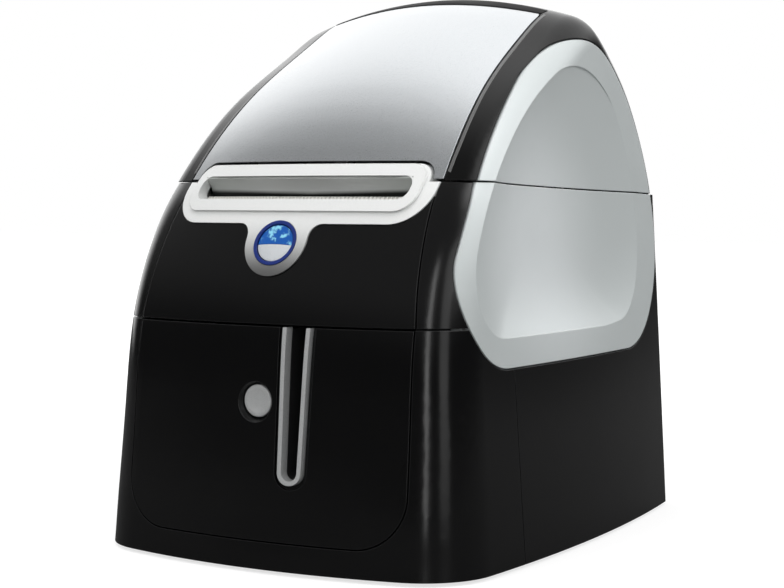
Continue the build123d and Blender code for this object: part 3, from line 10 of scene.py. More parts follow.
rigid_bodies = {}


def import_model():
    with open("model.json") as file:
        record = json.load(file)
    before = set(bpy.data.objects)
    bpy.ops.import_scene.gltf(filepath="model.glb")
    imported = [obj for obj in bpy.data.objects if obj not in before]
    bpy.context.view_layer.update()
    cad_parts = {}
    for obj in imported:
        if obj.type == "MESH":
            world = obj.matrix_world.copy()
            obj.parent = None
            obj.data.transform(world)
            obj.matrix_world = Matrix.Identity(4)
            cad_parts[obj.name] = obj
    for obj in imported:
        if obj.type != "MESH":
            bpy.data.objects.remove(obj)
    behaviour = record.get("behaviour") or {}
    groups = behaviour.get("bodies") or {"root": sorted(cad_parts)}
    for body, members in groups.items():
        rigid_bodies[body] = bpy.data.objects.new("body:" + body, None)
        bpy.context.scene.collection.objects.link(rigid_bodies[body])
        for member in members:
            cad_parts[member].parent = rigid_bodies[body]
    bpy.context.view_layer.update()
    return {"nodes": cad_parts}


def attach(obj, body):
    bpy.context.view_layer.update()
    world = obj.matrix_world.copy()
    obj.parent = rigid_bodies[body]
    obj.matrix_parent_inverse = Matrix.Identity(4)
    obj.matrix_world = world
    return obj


for leftover in list(bpy.data.objects):
    bpy.data.objects.remove(leftover)
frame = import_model()

mm = 0.001
roll_y, roll_z, roll_radius = 26.0, 122.0, 42.0
scene = bpy.context.scene
scene.view_settings.view_transform = "Standard"

# Camera: the photographer's place, worked out from the printer's outlines.
camera_place = (0.29517, -0.51821, 0.10800)
camera_turn = 0.52405
camera_pitch = 0.04638
camera_roll = 0.00713
lens_length = 79.305


def set_camera():
    """The camera, from its place, its turn and pitch in radians, and a slight roll."""
    across = Vector((math.cos(camera_turn), math.sin(camera_turn), 0))
    ahead = Vector(
        (
            -math.sin(camera_turn) * math.cos(camera_pitch),
            math.cos(camera_turn) * math.cos(camera_pitch),
            -math.sin(camera_pitch),
        )
    )
    upward = across.cross(ahead)
    right = math.cos(camera_roll) * across + math.sin(camera_roll) * upward
    top = math.cos(camera_roll) * upward - math.sin(camera_roll) * across
    lens = bpy.data.cameras.new("camera")
    lens.lens = lens_length
    lens.clip_start = 0.02
    camera = bpy.data.objects.new("camera", lens)
    camera.matrix_world = Matrix(
        (
            (right.x, top.x, -ahead.x, camera_place[0]),
            (right.y, top.y, -ahead.y, camera_place[1]),
            (right.z, top.z, -ahead.z, camera_place[2]),
            (0, 0, 0, 1),
        )
    )
    scene.collection.objects.link(camera)
    scene.camera = camera


# Shader nodes.


def add(tree, kind, inputs=None, **settings):
    """One shader node. Inputs maps each socket's name or number to a value or a node's output."""
    made = tree.nodes.new("ShaderNode" + kind)
    for name, value in settings.items():
        setattr(made, name, value)
    for key, value in (inputs or {}).items():
        if isinstance(value, bpy.types.NodeSocket):
            tree.links.new(value, made.inputs[key])
        else:
            made.inputs[key].default_value = value
    return made


def math_node(tree, operation, first, second=0.0, third=0.0):
    made = add(tree, "Math", {0: first, 1: second, 2: third}, operation=operation)
    return made.outputs[0]


def ramp(tree, value, low, high, to_low=0.0, to_high=1.0):
    """A smooth step from to_low to to_high as the value goes from low to high."""
    made = add(
        tree,
        "MapRange",
        {"Value": value, 1: low, 2: high, 3: to_low, 4: to_high},
        interpolation_type="SMOOTHSTEP",
    )
    return made.outputs["Result"]


def mix_colour(tree, share, first, second):
    made = add(tree, "Mix", data_type="RGBA")
    for socket, value in zip(
        [s for s in made.inputs if s.enabled], (share, first, second)
    ):
        if isinstance(value, bpy.types.NodeSocket):
            tree.links.new(value, socket)
        else:
            socket.default_value = value
    return [s for s in made.outputs if s.enabled][0]


def grey(value):
    return (value, value, value, 1)


def new_group(name, inputs, outputs):
    """An effect group with its named inputs, each with a start value, and its named outputs."""
    tree = bpy.data.node_groups.new(name, "ShaderNodeTree")
    for socket_name, start in inputs.items():
        made = tree.interface.new_socket(
            socket_name, in_out="INPUT", socket_type="NodeSocketFloat"
        )
        made.default_value = start
    for socket_name, kind in outputs.items():
        tree.interface.new_socket(socket_name, in_out="OUTPUT", socket_type=kind)
    way_in = tree.nodes.new("NodeGroupInput")
    way_out = tree.nodes.new("NodeGroupOutput")
    return tree, way_in.outputs, way_out


def put_out(tree, way_out, **values):
    for name, value in values.items():
        tree.links.new(value, way_out.inputs[name.replace("_", " ")])


def object_place(tree):
    return add(tree, "TexCoord").outputs["Object"]


def distance_from(tree, place, y, z):
    """Distance, in the view from the side, from a point given in millimetres."""
    across = math_node(tree, "SUBTRACT", place["Y"], y * mm)
    up = math_node(tree, "SUBTRACT", place["Z"], z * mm)
    flat = add(tree, "CombineXYZ", {0: across, 1: up}).outputs[0]
    return add(tree, "VectorMath", {0: flat}, operation="LENGTH").outputs["Value"]


def make_moulded_grain():
    """Fine spark-eroded texture of a moulding tool, with patches where it is worn smoother."""
    tree, given, out = new_group(
        "moulded grain",
        {"Grain Size": 0.4, "Patch Size": 30.0},
        {"Height": "NodeSocketFloat", "Patch": "NodeSocketFloat"},
    )
    place = object_place(tree)
    fine_scale = math_node(tree, "DIVIDE", 1000.0, given["Grain Size"])
    patch_scale = math_node(tree, "DIVIDE", 1000.0, given["Patch Size"])
    fine = add(
        tree,
        "TexNoise",
        {"Vector": place, "Scale": fine_scale, "Detail": 3.0, "Roughness": 0.6},
    )
    patch = add(
        tree,
        "TexNoise",
        {"Vector": place, "Scale": patch_scale, "Detail": 4.0, "Roughness": 0.55},
    )
    put_out(
        tree,
        out,
        Height=fine.outputs[0],
        Patch=ramp(tree, patch.outputs[0], 0.35, 0.68),
    )
    return tree


def make_soft_edge():
    """The small radius that every moulded or pressed edge has, and a mask of where it is."""
    tree, given, out = new_group(
        "soft edge",
        {"Radius": 0.35},
        {"Normal": "NodeSocketVector", "Edge": "NodeSocketFloat"},
    )
    radius = math_node(tree, "MULTIPLY", given["Radius"], mm)
    bevel = add(tree, "Bevel", {"Radius": radius}, samples=6)
    plain = add(tree, "NewGeometry")
    likeness = add(
        tree,
        "VectorMath",
        {0: bevel.outputs[0], 1: plain.outputs["Normal"]},
        operation="DOT_PRODUCT",
    )
    put_out(
        tree,
        out,
        Normal=bevel.outputs[0],
        Edge=ramp(tree, likeness.outputs["Value"], 0.995, 0.9),
    )
    return tree


def make_flake():
    """Metal flakes in a lacquer: small cells, each with its own brightness and tilt."""
    tree, given, out = new_group(
        "metal flake",
        {"Flake Size": 0.12},
        {"Shade": "NodeSocketFloat", "Height": "NodeSocketFloat"},
    )
    scale = math_node(tree, "DIVIDE", 1000.0, given["Flake Size"])
    cells = add(
        tree, "TexVoronoi", {"Vector": object_place(tree), "Scale": scale}, feature="F1"
    )
    brightness = add(tree, "SeparateColor", {0: cells.outputs["Color"]})
    put_out(
        tree, out, Shade=brightness.outputs[0], Height=brightness.outputs[1]
    )
    return tree


def make_machined():
    """Fine lines left by turning or brushing, along one of the object's axes."""
    tree, given, out = new_group(
        "machined lines",
        {"Line Pitch": 0.15, "Along X": 0.0, "Along Y": 1.0, "Along Z": 1.0},
        {"Height": "NodeSocketFloat", "Shade": "NodeSocketFloat"},
    )
    parts = add(tree, "SeparateXYZ", {0: object_place(tree)})
    stretched = add(
        tree,
        "CombineXYZ",
        {
            i: math_node(tree, "MULTIPLY", parts.outputs[i], given["Along " + axis])
            for i, axis in enumerate("XYZ")
        },
    )
    scale = math_node(tree, "DIVIDE", 1000.0, given["Line Pitch"])
    lines = add(
        tree,
        "TexNoise",
        {"Vector": stretched.outputs[0], "Scale": scale, "Detail": 2.0},
    )
    put_out(tree, out, Height=lines.outputs[0], Shade=lines.outputs[0])
    return tree


groups = {
    "moulded grain": make_moulded_grain(),
    "soft edge": make_soft_edge(),
    "metal flake": make_flake(),
    "machined lines": make_machined(),
}


def use_group(tree, name, **values):
    made = tree.nodes.new("ShaderNodeGroup")
    made.node_tree = groups[name]
    for key, value in values.items():
        made.inputs[key.replace("_", " ")].default_value = value
    return made.outputs


def start_material(name):
    made = bpy.data.materials.new(name)
    made.use_nodes = True
    made.node_tree.nodes.clear()
    return made, made.node_tree


def end_material(tree, inputs):
    shader = add(tree, "BsdfPrincipled", inputs)
    add(tree, "OutputMaterial", {"Surface": shader.outputs[0]})


def moulded(
    name,
    colour,
    roughness,
    worn_roughness,
    grain=0.4,
    depth=0.004,
    edge=0.35,
    edge_highlight_colour=None,
    **more,
):
    """A moulded plastic: its colour, its gloss, worn in patches, tool grain, and soft edges with
    a painted highlight along them.
    """
    made, tree = start_material(name)
    texture = use_group(tree, "moulded grain", Grain_Size=grain)
    rim = use_group(tree, "soft edge", Radius=edge)
    bump = add(
        tree,
        "Bump",
        {
            "Strength": 1.0,
            "Distance": depth * mm,
            "Height": texture["Height"],
            "Normal": rim["Normal"],
        },
    )
    # Painted highlight: a lighter colour along the soft edges, where they catch the light.
    painted_edge_highlight = edge_highlight_colour or tuple(min(1, c * 1.25 + 0.004) for c in colour[:3]) + (1,)
    speckled = mix_colour(
        tree,
        math_node(tree, "MULTIPLY", texture["Patch"], 0.5),
        colour,
        tuple(c * 0.93 for c in colour[:3]) + (1,),
    )
    end_material(
        tree,
        {
            "Base Color": mix_colour(tree, rim["Edge"], speckled, painted_edge_highlight),
            "Roughness": add(
                tree,
                "MapRange",
                {"Value": texture["Patch"], 3: roughness, 4: worn_roughness},
            ).outputs[0],
            "Normal": bump.outputs[0],
            **more,
        },
    )
    return made


def metal(name, colour, roughness, pitch=0.15):
    """A metal part with its machining or brushing lines."""
    made, tree = start_material(name)
    lines = use_group(tree, "machined lines", Line_Pitch=pitch)
    rim = use_group(tree, "soft edge", Radius=0.2)
    bump = add(
        tree,
        "Bump",
        {
            "Strength": 1.0,
            "Distance": 0.003 * mm,
            "Height": lines["Height"],
            "Normal": rim["Normal"],
        },
    )
    end_material(
        tree,
        {
            "Base Color": mix_colour(
                tree,
                lines["Shade"],
                tuple(c * 0.9 for c in colour[:3]) + (1,),
                tuple(min(1, c * 1.08) for c in colour[:3]) + (1,),
            ),
            "Metallic": 1.0,
            "Roughness": add(
                tree,
                "MapRange",
                {"Value": lines["Shade"], 3: roughness * 0.85, 4: roughness * 1.2},
            ).outputs[0],
            "Normal": bump.outputs[0],
        },
    )
    return made


def lacquer(name, colour, bright, flake, metallic, coat_roughness):
    """A lacquer: flakes under a clear coat."""
    made, tree = start_material(name)
    cells = use_group(tree, "metal flake", Flake_Size=flake)
    rim = use_group(tree, "soft edge", Radius=0.3)
    bump = add(
        tree,
        "Bump",
        {
            "Strength": 0.35,
            "Distance": 0.004 * mm,
            "Height": cells["Height"],
            "Normal": rim["Normal"],
        },
    )
    end_material(
        tree,
        {
            "Base Color": mix_colour(tree, cells["Shade"], colour, bright),
            "Metallic": metallic,
            "Roughness": add(
                tree,
                "MapRange",
                {"Value": cells["Shade"], 3: 0.27, 4: 0.33},
            ).outputs[0],
            "Normal": bump.outputs[0],
            "Coat Weight": 1.0,
            "Coat Roughness": coat_roughness,
        },
    )
    return made


def fade_colour(made, share_at, toward):
    """Fades a finish's colour toward another one by a share that depends on the place."""
    tree = made.node_tree
    socket = next(n for n in tree.nodes if n.type == "BSDF_PRINCIPLED").inputs["Base Color"]
    place = add(tree, "SeparateXYZ", {0: object_place(tree)}).outputs
    own = socket.links[0].from_socket
    tree.links.new(mix_colour(tree, share_at(tree, place), own, toward), socket)
    return made


def bezel_finish():
    """Pearl white with painted shade: it darkens to grey down the button's tongue."""
    made = lacquer(
        "pearl bezel",
        (0.84, 0.85, 0.84, 1),
        (0.90, 0.91, 0.90, 1),
        flake=0.1,
        metallic=0.0,
        coat_roughness=0.12,
    )

    # Painted shade: grey low on the tongue, where its face curves down toward the vertical.
    def painted_shade_down_the_tongue(tree, place):
        return ramp(tree, place["Z"], 88.5 * mm, 106.5 * mm, 1.0, 0.0)

    return fade_colour(made, painted_shade_down_the_tongue, grey(0.10))


def pad_finish():
    """Satin grey lacquer with painted light: palest where the dish opens to the light, low at the
    front, and painted greyer away from there.
    """
    made = moulded(
        "ring grey",
        (0.83, 0.87, 0.88, 1),
        0.36,
        0.42,
        grain=0.25,
        depth=0.004,
        edge=0.5,
        Metallic=0.25,
    )

    # Painted light and shade: palest near one place in the dish, greyer away from it.
    def painted_shade_away_from_the_lit_place(tree, place):
        return ramp(tree, distance_from(tree, place, -11.9, 100.0), 7.7 * mm, 57.7 * mm)

    return fade_colour(made, painted_shade_away_from_the_lit_place, (0.62, 0.66, 0.66, 1))


def guide_finish():
    """Pale guide with painted shade toward its ends and a painted shadow at its foot, where it
    turns into the machine.
    """
    made = moulded("guide grey", (0.90, 0.92, 0.90, 1), 0.3, 0.36, grain=1.2, depth=0.004)

    # Painted shade: darker toward both ends of the guide.
    def painted_shade_toward_the_ends(tree, place):
        return ramp(tree, math_node(tree, "ABSOLUTE", place["X"]), 12 * mm, 38 * mm)

    # Painted shadow: nearly black along the foot, where the guide turns into the machine.
    def painted_shadow_toward_the_foot(tree, place):
        from_middle = math_node(tree, "ABSOLUTE", place["X"])
        height = math_node(tree, "MULTIPLY_ADD", from_middle, -0.02, place["Z"])
        return ramp(tree, height, 115.2 * mm, 113.6 * mm)

    fade_colour(made, painted_shade_toward_the_ends, (0.46, 0.48, 0.46, 1))
    return fade_colour(made, painted_shadow_toward_the_foot, (0.015, 0.016, 0.015, 1))


def sparkling_blue():
    """Clear blue resin lit from below, with pale glints painted into its colour and glow."""
    made, tree = start_material("sparkling blue")
    place = object_place(tree)
    wave = add(tree, "TexNoise", {"Vector": place, "Scale": 420.0, "Detail": 3.0})
    # Painted glints: pale spots mixed into the colour, which also feeds the glow.
    painted_glints = ramp(tree, wave.outputs[0], 0.52, 0.66)
    colour = mix_colour(tree, painted_glints, (0.006, 0.09, 0.38, 1), (0.25, 0.62, 0.80, 1))
    rim = use_group(tree, "soft edge", Radius=0.3)
    end_material(
        tree,
        {
            "Base Color": colour,
            "Roughness": 0.08,
            "Normal": rim["Normal"],
            "Emission Color": colour,
            "Emission Strength": 0.2,
            "Coat Weight": 0.6,
        },
    )
    return made


def wound_paper():
    """Backing paper whose wound turns show as fine rings on the roll's two ends."""
    made, tree = start_material("wound paper")
    parts = add(tree, "SeparateXYZ", {0: object_place(tree)}).outputs
    radius = distance_from(tree, parts, roll_y, roll_z)
    turns = add(
        tree,
        "CombineXYZ",
        {
            0: math_node(tree, "MULTIPLY", radius, 4200.0),
            1: math_node(tree, "MULTIPLY", parts["X"], 60.0),
        },
    ).outputs[0]
    rings = add(tree, "TexNoise", {"Vector": turns, "Scale": 1.0, "Detail": 2.0})
    bump = add(
        tree, "Bump", {"Strength": 0.7, "Distance": 0.05 * mm, "Height": rings.outputs[0]}
    )
    fibres = use_group(tree, "moulded grain", Grain_Size=0.15)
    end_material(
        tree,
        {
            "Base Color": mix_colour(
                tree,
                ramp(tree, rings.outputs[0], 0.35, 0.65),
                (0.58, 0.56, 0.50, 1),
                (0.80, 0.79, 0.74, 1),
            ),
            "Roughness": ramp(tree, fibres["Height"], 0.3, 0.7, 0.68, 0.82),
            "Normal": bump.outputs[0],
        },
    )
    return made


finishes = {
    "gloss black": moulded(
        "gloss black",
        (0.0035, 0.0035, 0.0037, 1),
        0.15,
        0.19,
        grain=1.6,
        depth=0.006,
        edge=0.35,
        # Painted highlight colour along the edges.
        edge_highlight_colour=(0.02, 0.02, 0.021, 1),
    ),
    "slate lacquer": lacquer(
        "slate lacquer",
        (0.57, 0.60, 0.62, 1),
        (0.66, 0.68, 0.70, 1),
        flake=0.12,
        metallic=0.88,
        coat_roughness=0.04,
    ),
    "pearl white": bezel_finish(),
    "ring grey": pad_finish(),
    "guide grey": guide_finish(),
    "sparkling blue": sparkling_blue(),
    "paper": wound_paper(),
    "lid black": moulded(
        "lid black",
        (0.0045, 0.0045, 0.0046, 1),
        0.16,
        0.2,
        grain=1.6,
        depth=0.006,
        # Painted highlight colour along the edges.
        edge_highlight_colour=(0.02, 0.02, 0.021, 1),
        **{"Specular IOR Level": 0.2},
    ),
    "rim black": moulded(
        "rim black",
        (0.004, 0.004, 0.004, 1),
        0.5,
        0.6,
        grain=0.6,
        depth=0.003,
        **{"Specular IOR Level": 0.08},
    ),
    "lit ring": moulded(
        "lit ring", (0.016, 0.035, 0.20, 1), 0.12, 0.16, grain=2.0, depth=0.002
    ),
    "label stock": moulded(
        "label stock", (0.86, 0.86, 0.84, 1), 0.45, 0.52, grain=0.2, depth=0.004, edge=0.05
    ),
    "smoked pane": moulded(
        "smoked pane", (0.008, 0.009, 0.01, 1), 0.06, 0.1, grain=1.5, depth=0.001, edge=0.2
    ),
    "bevel grey": moulded(
        "bevel grey", (0.11, 0.11, 0.11, 1), 0.26, 0.32, grain=0.6, depth=0.003
    ),
    "button silver": lacquer(
        "button silver",
        (0.74, 0.77, 0.80, 1),
        (0.84, 0.87, 0.90, 1),
        flake=0.1,
        metallic=0.2,
        coat_roughness=0.15,
    ),
    "satin silver": lacquer(
        "satin silver",
        (0.50, 0.51, 0.51, 1),
        (0.60, 0.61, 0.61, 1),
        flake=0.1,
        metallic=0.25,
        coat_roughness=0.15,
    ),
    "dark mould": moulded(
        "dark mould", (0.02, 0.02, 0.021, 1), 0.5, 0.58, grain=0.35, depth=0.02
    ),
    "grey mould": moulded(
        "grey mould", (0.17, 0.175, 0.18, 1), 0.42, 0.5, grain=0.35, depth=0.015
    ),
    "white mould": moulded(
        "white mould", (0.74, 0.73, 0.69, 1), 0.35, 0.42, grain=0.6, depth=0.01
    ),
    "rubber": moulded(
        "rubber", (0.016, 0.016, 0.016, 1), 0.78, 0.86, grain=0.3, depth=0.03
    ),
    "steel": metal("steel", (0.46, 0.46, 0.45, 1), 0.3),
    "heat sink": metal("heat sink", (0.62, 0.63, 0.64, 1), 0.38, pitch=0.2),
    "ceramic": moulded(
        "ceramic", (0.42, 0.37, 0.28, 1), 0.12, 0.18, grain=1.0, depth=0.003
    ),
    "board": moulded("board", (0.006, 0.06, 0.022, 1), 0.25, 0.33, grain=2.0),
    "card": moulded("card", (0.36, 0.25, 0.14, 1), 0.85, 0.9, grain=0.3, depth=0.04),
}
finish_of_slot = {
    "gloss_black": "gloss black",
    "silver_lacquer": "slate lacquer",
    "pearl_white": "pearl white",
    "pad_grey": "ring grey",
    "bright_metal": "guide grey",
    "silver_plastic": "satin silver",
    "clear_blue": "sparkling blue",
    "dark_plastic": "dark mould",
    "grey_plastic": "grey mould",
    "white_plastic": "white mould",
    "soft_rubber": "rubber",
    "steel": "steel",
    "heat_sink": "heat sink",
    "ceramic": "ceramic",
    "board": "board",
    "paper": "paper",
    "card": "card",
}
finish_of_node = {
    "feed_button": "button silver",
    "button_ring": "lit ring",
    "lid_shell": "lid black",
    "tear_bar": "white mould",
}
for node, part in frame["nodes"].items():
    for slot in part.material_slots:
        finish = finish_of_node.get(node, finish_of_slot[slot.material.name])
        slot.material = finishes[finish]

# Pieces.


def put_piece(name, corners, faces, body, finish):
    """A mesh piece, in millimetres, that rides on a CAD body."""
    mesh = bpy.data.meshes.new(name)
    mesh.from_pydata([[v * mm for v in corner] for corner in corners], [], faces)
    shaped = bmesh.new()
    shaped.from_mesh(mesh)
    bmesh.ops.recalc_face_normals(shaped, faces=shaped.faces)
    for face in shaped.faces:
        face.smooth = True
    shaped.to_mesh(mesh)
    shaped.free()
    made = bpy.data.objects.new(name, mesh)
    scene.collection.objects.link(made)
    mesh.materials.append(finishes[finish])
    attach(made, body)
    return made


def swept_strip(name, stations, body, finish):
    """Solid skin through equal closed sections, one for each station, capped at both ends."""
    count = len(stations[0])
    corners = [corner for station in stations for corner in station]
    faces = [list(range(count)), list(range(len(corners) - count, len(corners)))]
    for i in range(len(stations) - 1):
        for j in range(count):
            near, far = i * count, (i + 1) * count
            k = (j + 1) % count
            faces.append([near + j, near + k, far + k, far + j])
    made = put_piece(name, corners, faces, body, finish)
    made.data.set_sharp_from_angle(angle=math.radians(35))


def arc_points(middle, radius, start, end, count):
    """Points on an arc in a plane, angles in degrees."""
    return [
        (
            middle[0] + radius * math.cos(math.radians(start + (end - start) * i / count)),
            middle[1] + radius * math.sin(math.radians(start + (end - start) * i / count)),
        )
        for i in range(count + 1)
    ]


def slot_guide():
    """Curved pale guide close behind the label slot."""
    middle, outer, inner, half = (-66.0, 112.2), 8.6, 7.9, 38.4
    profile = arc_points(middle, outer, 58, 8, 14) + arc_points(middle, inner, 8, 58, 14)
    stations = [[(x, y, z) for y, z in profile] for x in (-half, 0, half)]
    swept_strip("slot_guide", stations, "chassis", "guide grey")


def surface_of(*nodes):
    """The surfaces of some CAD nodes as one tree to cast rays on."""
    corners, faces = [], []
    for node in nodes:
        mesh = frame["nodes"][node].data
        first = len(corners)
        corners += [tuple(v.co) for v in mesh.vertices]
        faces += [tuple(first + i for i in p.vertices) for p in mesh.polygons]
    return BVHTree.FromPolygons(corners, faces)


def down_onto(surface, x, y):
    """Height in millimetres of a surface under one place."""
    hit = surface.ray_cast(Vector((x * mm, y * mm, 0.3)), Vector((0, 0, -1)))[0]
    return None if hit is None else hit.z / mm


def lid_bevels():
    """Narrow pale bevels along the lid's bands, beside the silver panel."""
    surface = surface_of("lid_shell")
    inner, outer, sunk, steps = 0.35, 1.35, 0.3, 48
    edge = (
        (-57.4, 46.85),
        (-48.0, 46.25),
        (-30.0, 44.5),
        (-14.0, 43.15),
        (2.0, 42.15),
        (12.0, 41.75),
        (22.0, 41.6),
    )
    for side, name in ((1, "lid_bevel_right"), (-1, "lid_bevel_left")):
        stations = []
        for i in range(steps + 1):
            y = edge[0][0] + (edge[-1][0] - edge[0][0]) * i / steps
            after = next(k for k in range(1, len(edge)) if edge[k][0] >= y - 1e-6)
            (y0, x0), (y1, x1) = edge[after - 1], edge[after]
            x = x0 + (x1 - x0) * (y - y0) / (y1 - y0)
            near, far = (down_onto(surface, side * (x + d), y) for d in (inner, outer))
            if near is None or far is None:
                continue
            stations.append(
                [
                    (side * (x + inner), y, near + 0.02),
                    (side * (x + outer), y, far + 0.12),
                    (side * (x + outer), y, far - sunk),
                    (side * (x + inner), y, near - sunk),
                ]
            )
        swept_strip(name, stations, "lid", "bevel grey")


def lid_rear_rim():
    """Black rim that closes the silver panel at the crest of the lid and hides its rear edge."""
    surface = surface_of("lid_panel", "lid_shell")
    half, rear, lift, sunk, steps = 41.2, 27.0, 0.22, 0.25, 42

    def terms(x, y):
        u, v = (x / 40) ** 2, (y - 18) / 18
        return [u**i * v**j for i in range(4) for j in range(4)]

    rows, heights = [], []
    for y in (2, 5, 8, 11, 14, 17, 20, 27.5, 30, 33):
        for x in range(-40, 41, 4):
            rows.append(terms(x, y))
            heights.append(down_onto(surface, x, y))
    weights = np.linalg.lstsq(np.array(rows), np.array(heights), rcond=None)[0]
    shares = (0, 0.03, 0.15, 0.3, 0.5, 0.7, 0.85, 1)
    stations = []
    for k in range(steps + 1):
        x = -half + 2 * half * k / steps
        front = 17.5 + 4.0 * (x / 41) ** 2
        depths = [front + (rear - front) * share for share in shares]
        over = [(x, y, float(np.dot(terms(x, y), weights))) for y in depths]
        top = [(x, y, z + (lift if i else 0.05)) for i, (x, y, z) in enumerate(over)]
        stations.append(top + [(x, y, z - sunk) for x, y, z in reversed(over)])
    swept_strip("lid_rear_rim", stations, "lid", "rim black")


def roll_labels():
    """Blank labels on the outer turn of the roll, with a gap between each and the next."""
    half, corner, low, high = 27.0, 2.5, 0.02, 0.16
    count, gap = 8, 3.2
    middle = roll_radius + 0.1
    length = 2 * math.pi * middle / count - gap
    round_end = (0, 0.15, 0.5, 1.2, corner)
    steps = list(round_end)
    steps += [corner + (length - 2 * corner) * i / 6 for i in range(1, 6)]
    steps += [length - v for v in reversed(round_end)]
    for k in range(count):
        stations = []
        for along in steps:
            from_end = min(along, length - along, corner)
            width = half - corner + math.sqrt(max(0.0, corner**2 - (corner - from_end) ** 2))
            turn = 2 * math.pi * k / count + along / middle
            rim = []
            for x, lift in ((-width, low), (width, low), (width, high), (-width, high)):
                reach = roll_radius + lift
                rim.append((x, roll_y + reach * math.cos(turn), roll_z + reach * math.sin(turn)))
            stations.append(rim)
        swept_strip(f"label_{k + 1}", stations, "spool", "label stock")


def cassette_trim():
    """Grip ribs and a smoked window on top of the tape cassette."""
    top, count, first_rib, pitch = 48.0, 6, -34.0, 1.6
    section = ((0, -0.2), (0.9, -0.2), (0.75, 0.45), (0.15, 0.45))
    for k in range(count):
        x = first_rib + k * pitch
        stations = [
            [(x + across, y, top + up) for across, up in section]
            for y in (-38.0, -37.4, -10.6, -10.0)
        ]
        swept_strip(f"cassette_rib_{k + 1}", stations, "tray", "grey mould")
    middle_x, middle_y, half_width, half_depth, corner = -5.0, -8.25, 6.5, 3.75, 2.0
    outline = []
    for right, back, start in ((-1, -1, 180), (1, -1, 270), (1, 1, 0), (-1, 1, 90)):
        middle = (
            middle_x + right * (half_width - corner),
            middle_y + back * (half_depth - corner),
        )
        outline += arc_points(middle, corner, start, start + 90, 5)
    drawn_in = [
        (middle_x + (x - middle_x) * 0.97, middle_y + (y - middle_y) * 0.95)
        for x, y in outline
    ]
    stations = [
        [(x, y, top - 0.1) for x, y in outline],
        [(x, y, top + 0.18) for x, y in outline],
        [(x, y, top + 0.3) for x, y in drawn_in],
    ]
    swept_strip("cassette_window", stations, "tray", "smoked pane")


def lid_catch():
    """Small grey catch that shows in the gap over the bezel."""
    outline = (
        (8.2, 123.75),
        (12.2, 123.75),
        (12.6, 124.1),
        (12.6, 124.5),
        (7.8, 124.5),
        (7.8, 124.1),
    )
    stations = [[(x, y, z) for x, z in outline] for y in (-57.6, -56.6, -52.5)]
    swept_strip("lid_catch", stations, "lid", "bevel grey")


slot_guide()
lid_bevels()
lid_rear_rim()
roll_labels()
cassette_trim()
lid_catch()

# Room: world, floor and lamps.


def light_path(tree):
    return add(tree, "LightPath").outputs


def seen_share(tree, rays, in_gloss=1.0):
    """1 for rays of the camera and through glass, and a share of that for reflections."""
    gloss = math_node(tree, "MULTIPLY", rays["Is Glossy Ray"], in_gloss)
    seen = math_node(tree, "MAXIMUM", rays["Is Camera Ray"], gloss)
    return math_node(tree, "MAXIMUM", seen, rays["Is Transmission Ray"])


def set_world():
    """White for the camera. Reflections see a studio, dark low in front and right rear."""
    world = bpy.data.worlds.new("studio")
    world.use_nodes = True
    scene.world = world
    tree = world.node_tree
    tree.nodes.clear()
    rays = light_path(tree)
    direction = add(tree, "TexCoord").outputs["Generated"]
    toward = add(tree, "SeparateXYZ", {0: direction}).outputs
    front = ramp(tree, toward["Z"], 0.12, 0.55, 0.03, 0.19)
    sideways = math_node(tree, "MULTIPLY_ADD", toward["X"], 0.3, 0.15)
    rearward = math_node(tree, "ADD", toward["Y"], sideways)
    behind = ramp(tree, rearward, -0.1, 0.38, 0.0, 1.35)
    clear_of_flag = math_node(
        tree,
        "MAXIMUM",
        ramp(tree, toward["Z"], 0.15, 0.5),
        ramp(tree, toward["X"], 0.1, -0.3),
    )
    behind = math_node(tree, "MULTIPLY", behind, clear_of_flag)
    aim = Vector((0.42, 0.08, 0.90)).normalized()
    nearness = add(
        tree, "VectorMath", {0: direction, 1: tuple(aim)}, operation="DOT_PRODUCT"
    ).outputs["Value"]
    overhead = ramp(tree, nearness, 0.95, 0.995, 0.0, 1.6)
    studio = math_node(tree, "ADD", math_node(tree, "MAXIMUM", front, behind), overhead)
    glossy = math_node(tree, "MULTIPLY", rays["Is Glossy Ray"], studio)
    plain = math_node(
        tree, "MAXIMUM", rays["Is Camera Ray"], rays["Is Transmission Ray"]
    )
    seen = math_node(tree, "ADD", glossy, plain)
    fill = math_node(
        tree,
        "MULTIPLY",
        math_node(tree, "SUBTRACT", 1.0, seen_share(tree, rays)),
        0.36,
    )
    background = add(
        tree,
        "Background",
        {"Color": grey(1.0), "Strength": math_node(tree, "ADD", seen, fill)},
    )
    add(tree, "OutputWorld", {"Surface": background.outputs[0]})


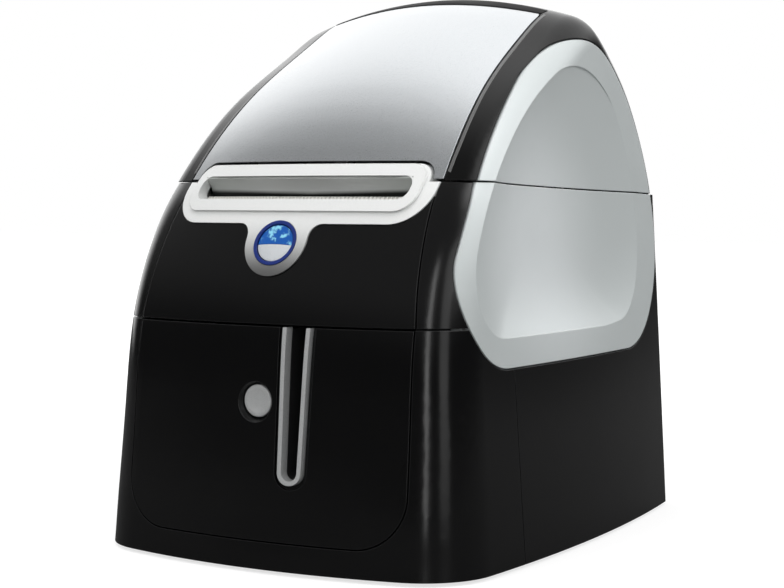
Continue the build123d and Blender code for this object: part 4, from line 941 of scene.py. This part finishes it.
def set_floor():
    """White table: it glows more with distance, where the lamps light it less."""
    reach = 6.0
    mesh = bpy.data.meshes.new("floor")
    mesh.from_pydata(
        [(-reach, -reach, 0), (reach, -reach, 0), (reach, reach, 0), (-reach, reach, 0)],
        [],
        [(0, 1, 2, 3)],
    )
    floor = bpy.data.objects.new("floor", mesh)
    scene.collection.objects.link(floor)
    made, tree = start_material("pale floor")
    rays = light_path(tree)
    distance = add(
        tree, "VectorMath", {0: object_place(tree)}, operation="LENGTH"
    ).outputs["Value"]
    lit = math_node(tree, "MULTIPLY_ADD", rays["Is Glossy Ray"], -0.33, 0.4)
    pale = add(tree, "CombineColor", {0: lit, 1: lit, 2: lit})
    matt = add(tree, "BsdfDiffuse", {"Color": pale.outputs[0]})
    glow = add(
        tree,
        "Emission",
        {"Color": grey(1.0), "Strength": ramp(tree, distance, 0.15, 0.6, 0.72, 1.0)},
    )
    none = add(tree, "Emission", {"Strength": 0.0})
    shown = add(
        tree,
        "MixShader",
        {0: seen_share(tree, rays, 0.05), 1: none.outputs[0], 2: glow.outputs[0]},
    )
    both = add(tree, "AddShader", {0: matt.outputs[0], 1: shown.outputs[0]})
    add(tree, "OutputMaterial", {"Surface": both.outputs[0]})
    mesh.materials.append(made)


def lamp(name, place, aim, width, height, radiance, glossy=True):
    """A soft box: its centre, the point it faces, its size and its brightness."""
    light = bpy.data.lights.new(name, "AREA")
    light.shape = "RECTANGLE"
    light.size = width
    light.size_y = height
    light.energy = radiance * math.pi * width * height
    holder = bpy.data.objects.new(name, light)
    holder.location = place
    holder.rotation_mode = "QUATERNION"
    holder.rotation_quaternion = (Vector(aim) - Vector(place)).to_track_quat("-Z", "Y")
    holder.visible_glossy = glossy
    scene.collection.objects.link(holder)


set_camera()
set_world()
set_floor()
middle = (0, 0, 0.09)
lamp("top box", (-0.2, -0.2, 1.5), middle, 1.2, 1.2, 2.2, glossy=False)
lamp("right strip", (1.2, -0.62, 0.5), middle, 0.35, 1.2, 1.0)
lamp("corner strip", (0.82, -1.13, 0.5), middle, 0.14, 1.3, 3.2)
lamp("right fill", (1.1, 0.55, 0.75), middle, 0.8, 0.8, 4.4, glossy=False)
lamp("front fill", (-0.5, -1.3, 0.9), middle, 0.9, 0.9, 2.8, glossy=False)
